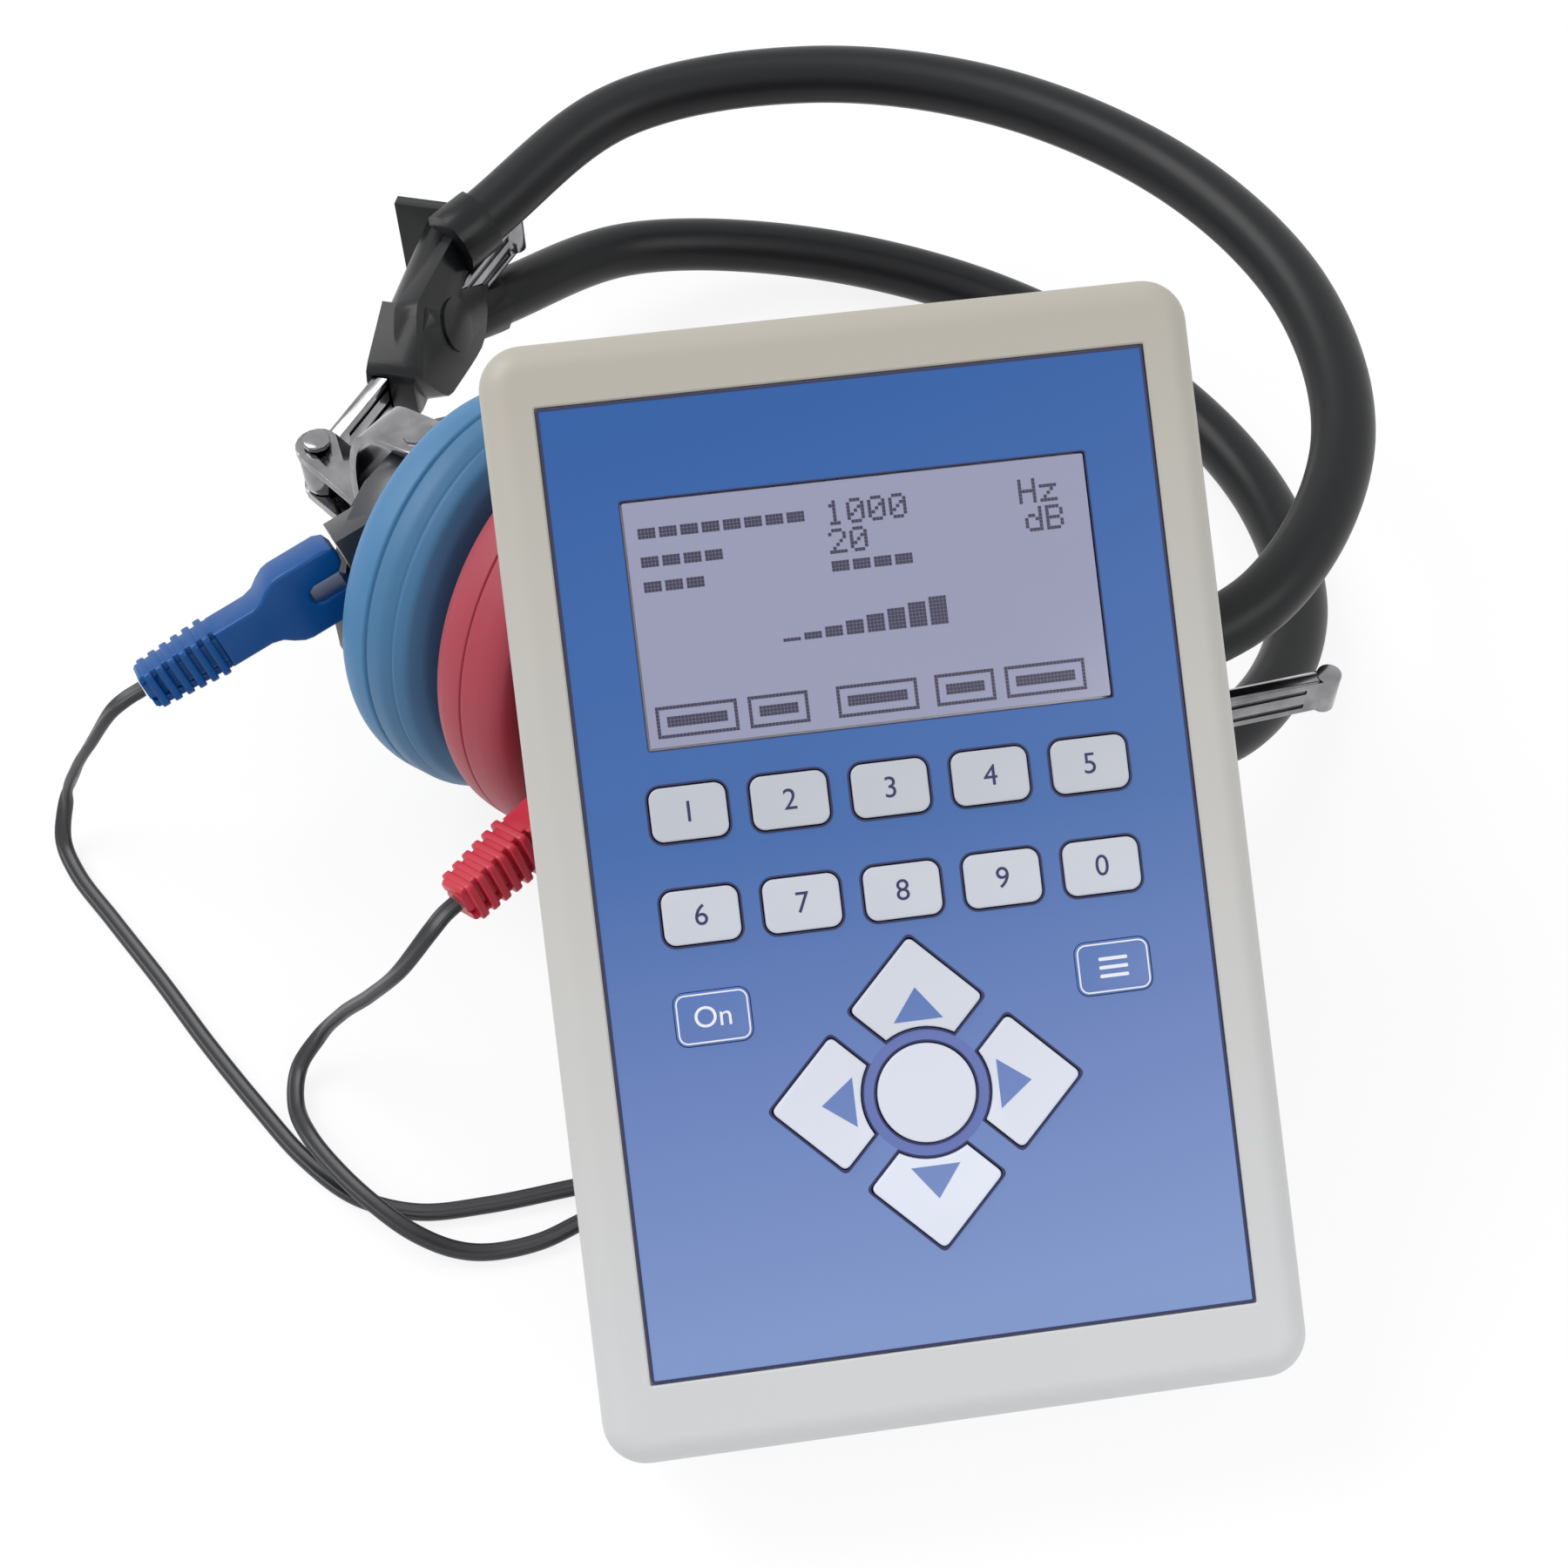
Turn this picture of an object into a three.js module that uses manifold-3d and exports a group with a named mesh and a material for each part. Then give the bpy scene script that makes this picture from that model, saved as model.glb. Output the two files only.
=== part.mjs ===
// Pure tone audiometer: a hand-held keypad unit that leans over its headset, with a blue and a red
// earphone on a two-tube spring headband, and the flat cord that joins them. Millimetres, +Z up.
import * as THREE from "three";
import { mergeVertices } from "three/addons/utils/BufferGeometryUtils.js";
import Module from "manifold-3d";

const wasm = await Module();
wasm.setup();

// Clearances and counts that every piece shares
const gap = 0.3;
const overrun = 2;
const weld = 0.0001;
const cornerSteps = 2;
const edgeSteps = 3;
const roundSides = 18;
const pinSides = 10;
const tubeSides = 12;
const tubeSteps = 32;
const deg = Math.PI / 180;

// Hand-held unit: case
const unitWidth = 112.8;
const unitHeight = 176;
const unitDepth = 35.8;
const cornerRadius = 7;
const frontEdge = 5;
const backEdge = 3;
const wall = 2.5;
const frontWall = 3;
const splitDepth = 15;
const lean = 36 * deg;
const bossRadius = 3.6;
const bossInset = 10.4;
const screwRadius = 1.4;
const screwHeadRadius = 2.8;
const screwHeadDepth = 2;
const screwReach = 9;

// Membrane panel, keys and display
const panelSide = 8.6;
const panelWidth = unitWidth - 2 * panelSide;
const panelHeight = 151.8;
const panelBottom = 13.25;
const panelThickness = 0.8;
const panelRecess = 0.3;
const windowSide = 11.4;
const windowWidth = panelWidth - 2 * windowSide;
const windowHeight = 38.3;
const windowBottom = 110.9;
const keySide = 10.1;
const keyGap = 3.85;
const columns = 5;
const keyHeight = 8.4;
const keyCorner = 1.8;
const keyPitch = (panelWidth - 2 * keySide + keyGap) / columns;
const keyWidth = keyPitch - keyGap;
const keyRise = 0.5;
const softKeyRise = 0.2;
const keyTravel = 0.5;
const keySkirt = 0.6;
const keyEdge = 0.25;
const upperRow = 100.5;
const lowerRow = 84.35;
const functionRow = 68.5;
const padRow = 52.6;
const centreRadius = 7.75;
const arrowRing = 10.4;
const arrowCentre = 14;
const arrowHalf = 10.5;
const arrowCorner = 1.6;
const arrowNotch = 0.4;
const keypadMargin = 5;
const matThickness = 3;
const matPost = 2.8;

// Electronics and battery
const displayThickness = 3;
const displayBorder = 5;
const boardThickness = 1.6;
const boardEnd = 13;
const boardHeight = unitHeight - 2 * boardEnd;
const chipSize = 14;
const chipHeight = 2;
const chipPitch = 28;
const chipRow = 42;
const chipGrid = [[-1, 3], [1, 3], [0, 2]];
const batteryWidth = 26.5;
const batteryLength = 46.5;
const batteryDepth = 17.5;
const terminalRadius = 3;
const terminalHeight = 1.8;
const snapDepth = 5;
const batteryOffset = -14;
const batteryBottom = 24;
const bayWall = 1.5;
const doorWidth = 38;
const doorLength = 60;
const doorBottom = 19;
const doorThickness = 1.2;
const doorTravel = 4;
const gripHeight = 0.4;
const gripWidth = 1.2;
const gripPitch = 3.6;
const gripStart = 4.8;
const gripCount = 4;
const footLength = 56;
const footWidth = 6;
const footHeight = 1.2;
const footInset = 8;
const socketRadius = 6;
const socketDepth = 12;
const socketFlange = 1.6;
const socketLip = 2.5;
const jackRadius = 3.15;
const jackLength = 9;
const socketInset = 14.4;
const socketX = unitWidth / 2 - socketInset;
const socketRow = 62;

// Headband: two tubes in plan, in a frame whose x axis runs from the left clamp to the right one
const tubeRadius = 6;
const bandHalf = 90.9;
const bandCentre = [-9.2, 170.3];
const bandTurn = -57.5 * deg;
const leftMid = 39.1;
const apexMid = 35;
const rightMid = 41.1;
const endSpread = 11.2;
const spreadPower = 2.2;
const bandPlanShares = [
  [-1, 0], [-1.03, 0.459], [-0.788, 0.846], [-0.393, 1.114], [0.094, 1.217],
  [0.551, 1.127], [0.893, 0.867], [1.042, 0.481], [0.943, 0.107],
];

// Earphones: both share one axis, which points from the blue cushion to the red one
const pairCentre = [-48, 141.9, 44];
const pairTurn = -44.8 * deg;
const pairPitch = 10.1 * deg;
const cushionRadius = 39.8;
const cushionDepth = 21;
const cushionFaceGap = 1.2;
const cushionBore = 9;
const cushionBoreDepth = 6;
const cushionSides = 36;
const cushionShares = [
  [0.44, 0], [0.72, 0], [0.88, 0.05], [0.955, 0.13], [0.985, 0.24], [0.97, 0.29], [0.99, 0.36],
  [1, 0.6], [0.99, 0.8], [0.965, 0.89], [0.92, 0.943],
];
const shellRadius = 29;
const shellStep = 33;
const capRadius = 23;
const capDepth = 43.5;
const capNose = 15;
const shellWall = 3;
const receiverDepth = 5.5;
const pivotDepth = 27;
const pivotRadius = 1.8;
const pivotHead = 3;
const pivotHeadDepth = 0.7;
const yokeThickness = 1.8;
const yokeWidth = 9.6;
const yokeClear = 1.8;
const yokeBend = 35;
const yokeReach = 14;
const yokeTip = 23.5;
const yokeSteps = 10;
const shellSides = 20;
const lugWidth = 9;
const lugThickness = 2;

// Slide rods and clamps
const rodWidth = 8;
const rodThickness = 3;
const rodGroove = 0.6;
const rodBarrel = 4.2;
const rodFlare = 2.3;
const rivetRadius = 1.6;
const rivetHead = 2.8;
const rivetHeadDepth = 1.3;
const leftNose = [-93.6, 191.2, 39.1];
const leftRodTop = [-49, 258.5, 39.1];
const rightNose = [-10.6, 93.5, 41.1];
const rightRodTop = [92.4, 104.6, 41.1];
const leftColumnTop = [-64, 252.3];
const leftColumnFoot = [-80.8, 205.2];
const rightColumnTop = [48.2, 96];
const rightColumnFoot = [-1.8, 94.85];
const chuteRadius = 4.5;
const chuteRise = 6.9;
const chuteLength = 30;
const blockLength = 15;
const blockOuter = 4.8;
const blockInner = 5.4;
const blockRise = 11.4;
const blockDrop = 6;
const blockSlope = 6;
const flangeThickness = 2.5;
const flangeOut = 10.5;
const flangeIn = 9;
const flangeUp = 13.5;
const flangeDown = 6;
const plateFace = 8.8;
const plateThickness = 5.5;
const plateTilt = 20 * deg;
const plateHeight = 15;
const plateShares = [
  [0, 0.06], [-0.38, -0.56], [-0.52, -0.53], [-0.88, -0.32], [-1, 0.42], [-0.72, 1], [0, 0.8],
];
const plateCornerShares = [0, 1, 1, 0.6, 0.6, 0.6, 0];
const plateCorner = 4;
const sleeveWall = 1.2;
const sleeveReach = 1.5;
const sleeveBack = 7;
const badgeRadius = 5.8;
const badgeRow = 24.1;
const badgeLevel = 1.8;
const badgeRise = 0.6;
const badgeRim = 1;

// Earphone plugs
const plugLength = 44;
const plugWidth = 14.7;
const plugHeight = 8;
const plugEdge = 1.2;
const plugShoulder = 13.9;
const plugNeck = 19;
const plugNeckHalf = 4;
const plugCornerShares = [1, 1, 1, 1, 1, 1, 2, 1, 0, 0, 1, 2];
const prongGap = 3.6;
const prongLength = 9.1;
const plugRoll = (-69 * Math.PI) / 180;
const reliefStart = 27.7;
const reliefWide = 4.9;
const reliefNarrow = 4.1;
const reliefGroove = 1.3;
const reliefRibs = 6;
const ribShares = [0.55, 0.6, 0.95];
const socketBossWidth = 15.5;
const socketBossHeight = 8.8;
const socketBossDepth = 10;
const leftPlugTip = [-126.9, 133.6, 45];
const leftPlugAim = [-0.9, -0.389, -0.19];
const rightPlugTip = [-71.6, 74.6, 49.6];
const rightPlugAim = [-0.76, -0.65, -0.05];

// Cords
const legRadius = 1.6;
const mainRadius = 1.8;
const legSides = 8;
const coilSides = 6;
const leftLegSteps = 34;
const rightLegSteps = 30;
const leadSteps = 8;
const tailSteps = 10;
const coilStepsPerTurn = 24;
const coilCentre = [8, 74];
const coilMeanRadius = 20;
const coilLayers = 4;
const coilTurns = 8.75;
const coilStart = -Math.PI / 2;
const coilClimbTurns = 0.5;
const coilSamples = 4;
const coilGap = 0.45;
const coilFloor = 2;
const junctionLength = 17;
const junctionWidth = 10;
const junctionHeight = 5.6;
const junctionPlace = [-47.4, 40.5];
const junctionEdge = 1.4;
const plugBodyRadius = 6;
const plugBodyDepth = 12;
const plugBarrel = 4.4;
const plugBarrelLength = 16;
const plugTailLength = 9;
const plugTailWide = 3.5;
const leftCordPoints = [
  [-126.9, 133.6, 45], [-133, 131.4, 42.5], [-139.2, 132.2, 33], [-145.1, 134.9, 22],
  [-150, 136.6, 10.5], [-152.2, 131.8, 3.6], [-149.6, 124.4, 2], [-142.3, 112.4, 1.9],
  [-132.8, 97.1, 1.9], [-123.6, 81.5, 1.9], [-114.8, 67.7, 1.9], [-106.2, 55.3, 1.9],
  [-97.1, 46.3, 1.9], [-86.4, 41.8, 1.9], [-74, 41.4, 1.9], [-59.2, 42.4, 2.2], [-48.3, 43, 2.8],
];
const rightCordPoints = [
  [-71.6, 74.6, 49.6], [-76.5, 70.4, 48.2], [-82.8, 68.4, 40.4], [-89.6, 71.2, 29],
  [-96.2, 75, 18], [-102, 76.6, 8.4], [-106.6, 73.4, 3.6], [-107.4, 66, 3.2],
  [-104.6, 57.6, 5.6], [-99.4, 49.4, 6.2], [-93.4, 42.2, 6.2], [-87, 36.4, 5.2],
  [-80.5, 33.4, 2.8], [-74.5, 32.3, 1.9], [-65.3, 33, 1.9], [-56.5, 36, 2.2], [-48.3, 38, 2.8],
];
const leadPoints = [
  [-29.7, 40.5, 2.8], [-24, 40.9, 2.3], [-16, 43.8, 2], [-8, 47.4, 2], [-2, 49.2, 2], [3.8, 49.57, 2],
];
const tailPoints = [
  [-16.43, 69.9, 14.15], [-16.4, 65.6, 14.4], [-15.6, 60.4, 16], [-10.6, 57, 19.6],
  [-3.6, 55.4, 24], [3.4, 55.2, 27], [9.8, 55.4, 29], [16.6, 55.4, 29.6],
];

// Colours and finishes
const bezel = finish(0xd2d0c4, 0.55, 0);
const blueFace = finish(0x4a6cb8, 0.45, 0);
const keyWhite = finish(0xe4e5ea, 0.5, 0);
const glass = finish(0xa9a4c6, 0.15, 0);
const black = finish(0x1d1d20, 0.45, 0);
const softBlack = finish(0x26262a, 0.6, 0);
const chrome = finish(0xd8d8d8, 0.2, 1);
const steel = finish(0x9a9a9c, 0.35, 1);
const board = finish(0x1e6b3c, 0.5, 0);
const blueRubber = finish(0x4682b4, 0.6, 0);
const redRubber = finish(0xa84355, 0.6, 0);
const bluePlug = finish(0x1f6fbd, 0.4, 0);
const redPlug = finish(0xcf2a3c, 0.4, 0);
const cordBlack = finish(0x202022, 0.5, 0);

function finish(color, roughness, metalness) {
  return new THREE.MeshStandardMaterial({ color, roughness, metalness });
}

// Solids: joining and cutting
function solid(geometry) {
  const bare = geometry.index ? geometry.toNonIndexed() : geometry.clone();
  bare.deleteAttribute("normal");
  bare.deleteAttribute("uv");
  const merged = mergeVertices(bare, weld);
  const vertProperties = new Float32Array(merged.attributes.position.array);
  const triVerts = new Uint32Array(merged.index.array);
  const made = new wasm.Manifold(new wasm.Mesh({ numProp: 3, vertProperties, triVerts }));
  if (made.volume() > 0) return made;
  for (let i = 0; i < triVerts.length; i += 3) {
    [triVerts[i + 1], triVerts[i + 2]] = [triVerts[i + 2], triVerts[i + 1]];
  }
  return new wasm.Manifold(new wasm.Mesh({ numProp: 3, vertProperties, triVerts }));
}

function geometryOf(made) {
  const mesh = made.getMesh();
  const geometry = new THREE.BufferGeometry();
  geometry.setAttribute("position", new THREE.BufferAttribute(new Float32Array(mesh.vertProperties), 3));
  geometry.setIndex(new THREE.BufferAttribute(new Uint32Array(mesh.triVerts), 1));
  geometry.computeVertexNormals();
  return geometry;
}

function join(...pieces) {
  return geometryOf(pieces.slice(1).reduce((sum, piece) => sum.add(solid(piece)), solid(pieces[0])));
}

function cut(base, ...tools) {
  return geometryOf(tools.reduce((rest, tool) => rest.subtract(solid(tool)), solid(base)));
}

function common(a, b) {
  return geometryOf(solid(a).intersect(solid(b)));
}

// Basic forms
function block(x0, x1, y0, y1, z0, z1) {
  const box = new THREE.BoxGeometry(x1 - x0, y1 - y0, z1 - z0);
  return box.translate((x0 + x1) / 2, (y0 + y1) / 2, (z0 + z1) / 2);
}

function disc(radius, bottom, top, sides = roundSides) {
  const made = new THREE.CylinderGeometry(radius, radius, top - bottom, sides);
  return made.rotateX(Math.PI / 2).translate(0, 0, (bottom + top) / 2);
}

function turned(profile, sides = roundSides) {
  const points = profile.map(([radius, height]) => new THREE.Vector2(radius, height));
  return new THREE.LatheGeometry(points, sides).rotateX(Math.PI / 2);
}

function slab(shape, bottom, top) {
  const made = new THREE.ExtrudeGeometry(shape, {
    depth: top - bottom, bevelEnabled: false, curveSegments: cornerSteps,
  });
  return made.translate(0, 0, bottom);
}

function softSlab(shapeOf, bottom, top, edge, steps = 1) {
  const made = new THREE.ExtrudeGeometry(shapeOf(-edge), {
    depth: top - bottom - 2 * edge, bevelEnabled: true, bevelSize: edge, bevelThickness: edge,
    bevelSegments: steps, curveSegments: cornerSteps,
  });
  return made.translate(0, 0, bottom + edge);
}

// A shape from corner points, each rounded by its own radius.
function roundedShape(corners, radii) {
  const shape = new THREE.Shape();
  const count = corners.length;
  corners.forEach((corner, i) => {
    const at = new THREE.Vector2(...corner);
    const before = new THREE.Vector2(...corners[(i + count - 1) % count]).sub(at);
    const after = new THREE.Vector2(...corners[(i + 1) % count]).sub(at);
    const start = at.clone().add(before.setLength(Math.min(radii[i], before.length() / 2)));
    const end = at.clone().add(after.setLength(Math.min(radii[i], after.length() / 2)));
    if (i === 0) shape.moveTo(start.x, start.y);
    else shape.lineTo(start.x, start.y);
    if (radii[i] > 0) shape.quadraticCurveTo(at.x, at.y, end.x, end.y);
  });
  return shape;
}

function rectangle(width, height, radius) {
  const x = width / 2;
  const y = height / 2;
  return roundedShape([[-x, -y], [x, -y], [x, y], [-x, y]], [radius, radius, radius, radius]);
}

function polygonCircle(radius, sides) {
  const points = [];
  for (let i = 0; i < sides; i += 1) {
    const angle = (2 * Math.PI * (i + 1 / 2)) / sides;
    points.push(new THREE.Vector2(radius * Math.cos(angle), radius * Math.sin(angle)));
  }
  return new THREE.Shape(points);
}

function tube(curve, radius, sides, steps) {
  return new THREE.ExtrudeGeometry(polygonCircle(radius, sides), { extrudePath: curve, steps });
}

function smooth(points) {
  return new THREE.CatmullRomCurve3(points.map((point) => new THREE.Vector3(...point)));
}

// Puts a form made along +Z at a place and aims it, its width level unless it is rolled about its length.
function aim(geometry, from, direction, roll = 0) {
  const z = direction.clone().normalize();
  const x = new THREE.Vector3(0, 0, 1).cross(z).normalize();
  const y = z.clone().cross(x);
  return geometry.rotateZ(roll).applyMatrix4(new THREE.Matrix4().makeBasis(x, y, z).setPosition(from));
}

function bar(from, to, width, thickness) {
  const along = to.clone().sub(from);
  const made = block(-width / 2, width / 2, -thickness / 2, thickness / 2, 0, along.length());
  return aim(made, from, along);
}

const kit = new THREE.Group();
const unit = new THREE.Group();
const unitSink = backEdge * (1 - Math.sin(lean) - Math.cos(lean));
unit.rotation.x = lean;
unit.position.set(0, -unitSink * Math.tan(lean), unitSink);
kit.add(unit);

function add(group, name, geometry, material) {
  const mesh = new THREE.Mesh(geometry, material);
  mesh.name = name;
  group.add(mesh);
  return mesh;
}

// Levels inside the unit, from the back face outwards
const panelTop = unitDepth - panelRecess;
const panelUnder = panelTop - panelThickness;
const innerFront = unitDepth - frontWall;
const keyBottom = panelUnder - keySkirt;
const matTop = innerFront - gap;
const boardTop = matTop - matThickness - gap;
const boardBottom = boardTop - boardThickness;
const windowCentre = windowBottom + windowHeight / 2;
const unitMiddle = unitHeight / 2;
const bossX = unitWidth / 2 - bossInset;
const bossRows = [bossInset, unitHeight - bossInset];
const bossPlaces = bossRows.flatMap((y) => [[-bossX, y], [bossX, y]]);

// Keys: name, place, outline by growth, and how far each stands above the panel
function kite(turn, grow) {
  const half = arrowHalf + grow * Math.SQRT2;
  const ring = arrowRing - grow;
  const offset = arrowCentre;
  const meet = (half + offset - Math.sqrt(2 * ring * ring - (offset - half) ** 2)) / 2;
  const points = [
    [0, offset + half], [-half, offset], [meet - half, offset - meet],
    [0, ring], [half - meet, offset - meet], [half, offset],
  ];
  const radii = [arrowCorner, arrowCorner, arrowNotch, 0, arrowNotch, arrowCorner];
  const spun = points.map(([x, y]) => [
    x * Math.cos(turn) - y * Math.sin(turn), x * Math.sin(turn) + y * Math.cos(turn),
  ]);
  return roundedShape(spun, radii);
}

const keys = [];
for (let i = 0; i < 10; i += 1) {
  const column = (i % columns) - (columns - 1) / 2;
  const row = i < columns ? upperRow : lowerRow;
  keys.push({
    name: "key_" + ((i + 1) % 10), x: column * keyPitch, y: row, rise: keyRise,
    outline: (grow) => rectangle(keyWidth + 2 * grow, keyHeight + 2 * grow, keyCorner),
  });
}
["on", "menu"].forEach((word, i) => {
  keys.push({
    name: "key_" + word, x: (2 * i - 1) * 2 * keyPitch, y: functionRow, rise: softKeyRise,
    outline: (grow) => rectangle(keyWidth + 2 * grow, keyHeight + 2 * grow, keyCorner),
  });
});
["up", "left", "down", "right"].forEach((word, i) => {
  keys.push({
    name: "key_" + word, x: 0, y: padRow, rise: keyRise,
    post: [-arrowCentre * Math.sin((i * Math.PI) / 2), arrowCentre * Math.cos((i * Math.PI) / 2)],
    outline: (grow) => kite((i * Math.PI) / 2, grow),
  });
});
keys.push({
  name: "key_centre", x: 0, y: padRow, rise: keyRise,
  outline: (grow) => polygonCircle(centreRadius + grow, 2 * roundSides),
});

const keypadLeft = (-(columns - 1) / 2) * keyPitch - keyWidth / 2 - keypadMargin;
const keypadBottom = padRow - arrowCentre - arrowHalf - keypadMargin / 2;
const keypadTop = upperRow + keyHeight / 2 + keypadMargin / 2;

// Case
function caseBody(edge, bottom, top) {
  const outline = (grow) => rectangle(unitWidth + 2 * grow, unitHeight + 2 * grow, cornerRadius + grow);
  const whole = softSlab(outline, 0, unitDepth, edge, edgeSteps).translate(0, unitMiddle, 0);
  const reach = unitWidth;
  return common(whole, block(-reach, reach, -overrun, unitHeight + overrun, bottom, top));
}

function cavity(bottom, top) {
  const inner = rectangle(unitWidth - 2 * wall, unitHeight - 2 * wall, cornerRadius - wall);
  return slab(inner, bottom, top).translate(0, unitMiddle, 0);
}

function frontShell() {
  const body = caseBody(frontEdge, splitDepth + gap, unitDepth + overrun);
  const pocket = slab(rectangle(panelWidth + 2 * gap, panelHeight + 2 * gap, 0), panelUnder - gap,
    unitDepth + overrun).translate(0, panelBottom + panelHeight / 2, 0);
  const keyHole = block(keypadLeft, -keypadLeft, keypadBottom, keypadTop, splitDepth, unitDepth);
  const viewHole = slab(rectangle(windowWidth + 2 * gap, windowHeight + 2 * gap, 0), splitDepth, unitDepth)
    .translate(0, windowCentre, 0);
  const hollow = cut(body, cavity(splitDepth - overrun, innerFront), pocket, keyHole, viewHole);
  const posts = bossPlaces.map(([x, y]) => disc(bossRadius, splitDepth + gap, innerFront + weld, pinSides)
    .translate(x, y, 0));
  const holes = bossPlaces.map(([x, y]) => disc(screwRadius + gap, splitDepth - overrun,
    splitDepth + screwReach + gap, pinSides).translate(x, y, 0));
  return cut(join(hollow, ...posts), ...holes);
}

function backShell() {
  const body = cut(caseBody(backEdge, -overrun, splitDepth), cavity(wall, splitDepth + overrun));
  const posts = bossPlaces.map(([x, y]) => disc(bossRadius, wall - weld, splitDepth, pinSides)
    .translate(x, y, 0));
  const bayX = batteryOffset;
  const bayHalf = batteryWidth / 2 + gap;
  const bayTop = batteryBottom + batteryLength;
  const bay = cut(
    block(bayX - bayHalf - bayWall, bayX + bayHalf + bayWall, batteryBottom - gap - bayWall, bayTop,
      wall - weld, splitDepth),
    block(bayX - bayHalf, bayX + bayHalf, batteryBottom - gap, bayTop + overrun, -overrun,
      splitDepth + overrun),
  );
  const doorX = batteryOffset;
  const pocket = block(doorX - doorWidth / 2 - gap, doorX + doorWidth / 2 + gap, doorBottom - gap,
    doorBottom + doorLength + doorTravel + gap, -overrun, doorThickness + gap);
  const openingTop = bayTop + terminalHeight + snapDepth + 2 * gap;
  const opening = block(bayX - bayHalf, bayX + bayHalf, batteryBottom - gap, openingTop, -overrun,
    wall + overrun);
  const socketHole = disc(socketRadius + gap, -overrun, wall + overrun).translate(socketX, socketRow, 0);
  const shafts = bossPlaces.map(([x, y]) => disc(screwRadius + gap, -overrun, splitDepth + overrun, pinSides)
    .translate(x, y, 0));
  const sinks = bossPlaces.map(([x, y]) => disc(screwHeadRadius + gap, -overrun,
    screwHeadDepth + 2 * gap, pinSides).translate(x, y, 0));
  return cut(join(body, bay, ...posts), pocket, opening, socketHole, ...shafts, ...sinks);
}

function panel() {
  const plate = slab(rectangle(panelWidth, panelHeight, 0), panelUnder, panelTop)
    .translate(0, panelBottom + panelHeight / 2, 0);
  const view = slab(rectangle(windowWidth + 2 * gap, windowHeight + 2 * gap, 0), panelUnder - overrun,
    panelTop + overrun).translate(0, windowCentre, 0);
  const holes = keys.map((key) => slab(key.outline(gap), panelUnder - overrun, panelTop + overrun)
    .translate(key.x, key.y, 0));
  return cut(plate, view, ...holes);
}

function keypadMat() {
  const left = keypadLeft - keypadMargin / 2;
  const base = block(left, -left, keypadBottom - keypadMargin / 2, keypadTop, matTop - matThickness, matTop);
  const postTop = keyBottom - keyTravel - gap / 2;
  const posts = keys.map((key) => {
    const [dx, dy] = key.post || [0, 0];
    return block(-matPost, matPost, -matPost, matPost, matTop - matThickness / 2, postTop)
      .translate(key.x + dx, key.y + dy, 0);
  });
  return join(base, ...posts);
}

function displayModule() {
  const frame = block(-windowWidth / 2 - displayBorder, windowWidth / 2 + displayBorder,
    keypadTop + gap, windowBottom + windowHeight + displayBorder, matTop - displayThickness, matTop);
  const cell = slab(rectangle(windowWidth, windowHeight, 0), matTop - displayThickness / 2, panelUnder - gap)
    .translate(0, windowCentre, 0);
  return join(frame, cell);
}

function mainBoard() {
  const half = bossX - bossRadius - gap;
  const bottom = unitMiddle - boardHeight / 2;
  const plate = block(-half, half, bottom, bottom + boardHeight, boardBottom, boardTop);
  const chipTop = boardBottom + weld;
  const chips = chipGrid.map(([column, row]) => {
    const x = column * chipPitch;
    const y = row * chipPitch + chipRow;
    return block(x - chipSize / 2, x + chipSize / 2, y - chipSize / 2, y + chipSize / 2,
      boardBottom - chipHeight, chipTop);
  });
  return join(plate, ...chips);
}

add(unit, "front_shell", frontShell(), bezel);
add(unit, "back_shell", backShell(), bezel);
add(unit, "panel", panel(), blueFace);
add(unit, "lcd_window", slab(rectangle(windowWidth, windowHeight, 0), panelUnder, panelTop)
  .translate(0, windowCentre, 0), glass);
add(unit, "lcd_module", displayModule(), steel);
add(unit, "main_pcb", mainBoard(), board);
add(unit, "keypad_mat", keypadMat(), softBlack);
keys.forEach((key) => {
  const cap = softSlab((grow) => key.outline(grow), keyBottom, panelTop + key.rise, keyEdge);
  add(unit, key.name, cap.translate(key.x, key.y, 0), key.rise > softKeyRise ? keyWhite : blueFace);
});

// Battery bay, door, feet, socket and screws
function battery() {
  const bottom = doorThickness + 2 * gap;
  const top = batteryBottom + batteryLength;
  const can = block(-batteryWidth / 2, batteryWidth / 2, batteryBottom, top, bottom, bottom + batteryDepth);
  const posts = [-1, 1].map((side) => disc(terminalRadius, -weld, terminalHeight).rotateX(-Math.PI / 2)
    .translate((side * batteryWidth) / 4, top, bottom + batteryDepth / 2));
  return join(can, ...posts).translate(batteryOffset, 0, 0);
}

function batterySnap() {
  const bottom = doorThickness + 2 * gap;
  const start = batteryBottom + batteryLength + terminalHeight + gap;
  return block(-batteryWidth / 2, batteryWidth / 2, start, start + snapDepth, bottom, bottom + batteryDepth)
    .translate(batteryOffset, 0, 0);
}

function batteryDoor() {
  const plate = block(-doorWidth / 2, doorWidth / 2, doorBottom, doorBottom + doorLength, 0, doorThickness);
  const ribs = [];
  for (let i = 0; i < gripCount; i += 1) {
    const y = doorBottom + gripStart + i * gripPitch;
    ribs.push(block(-doorWidth / 4, doorWidth / 4, y, y + gripWidth, -gripHeight, weld));
  }
  return join(plate, ...ribs).translate(batteryOffset, 0, 0);
}

function earphoneSocket() {
  const barrel = disc(socketRadius, 0, socketDepth);
  const flange = disc(socketRadius + socketLip, wall + gap, wall + gap + socketFlange);
  const bore = disc(jackRadius + gap, -overrun, jackLength + gap);
  return cut(join(barrel, flange), bore).translate(socketX, socketRow, 0);
}

function screw() {
  const head = disc(screwHeadRadius, gap, gap + screwHeadDepth, pinSides);
  const shaft = disc(screwRadius, gap + screwHeadDepth / 2, splitDepth + screwReach, pinSides);
  return join(head, shaft);
}

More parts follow.
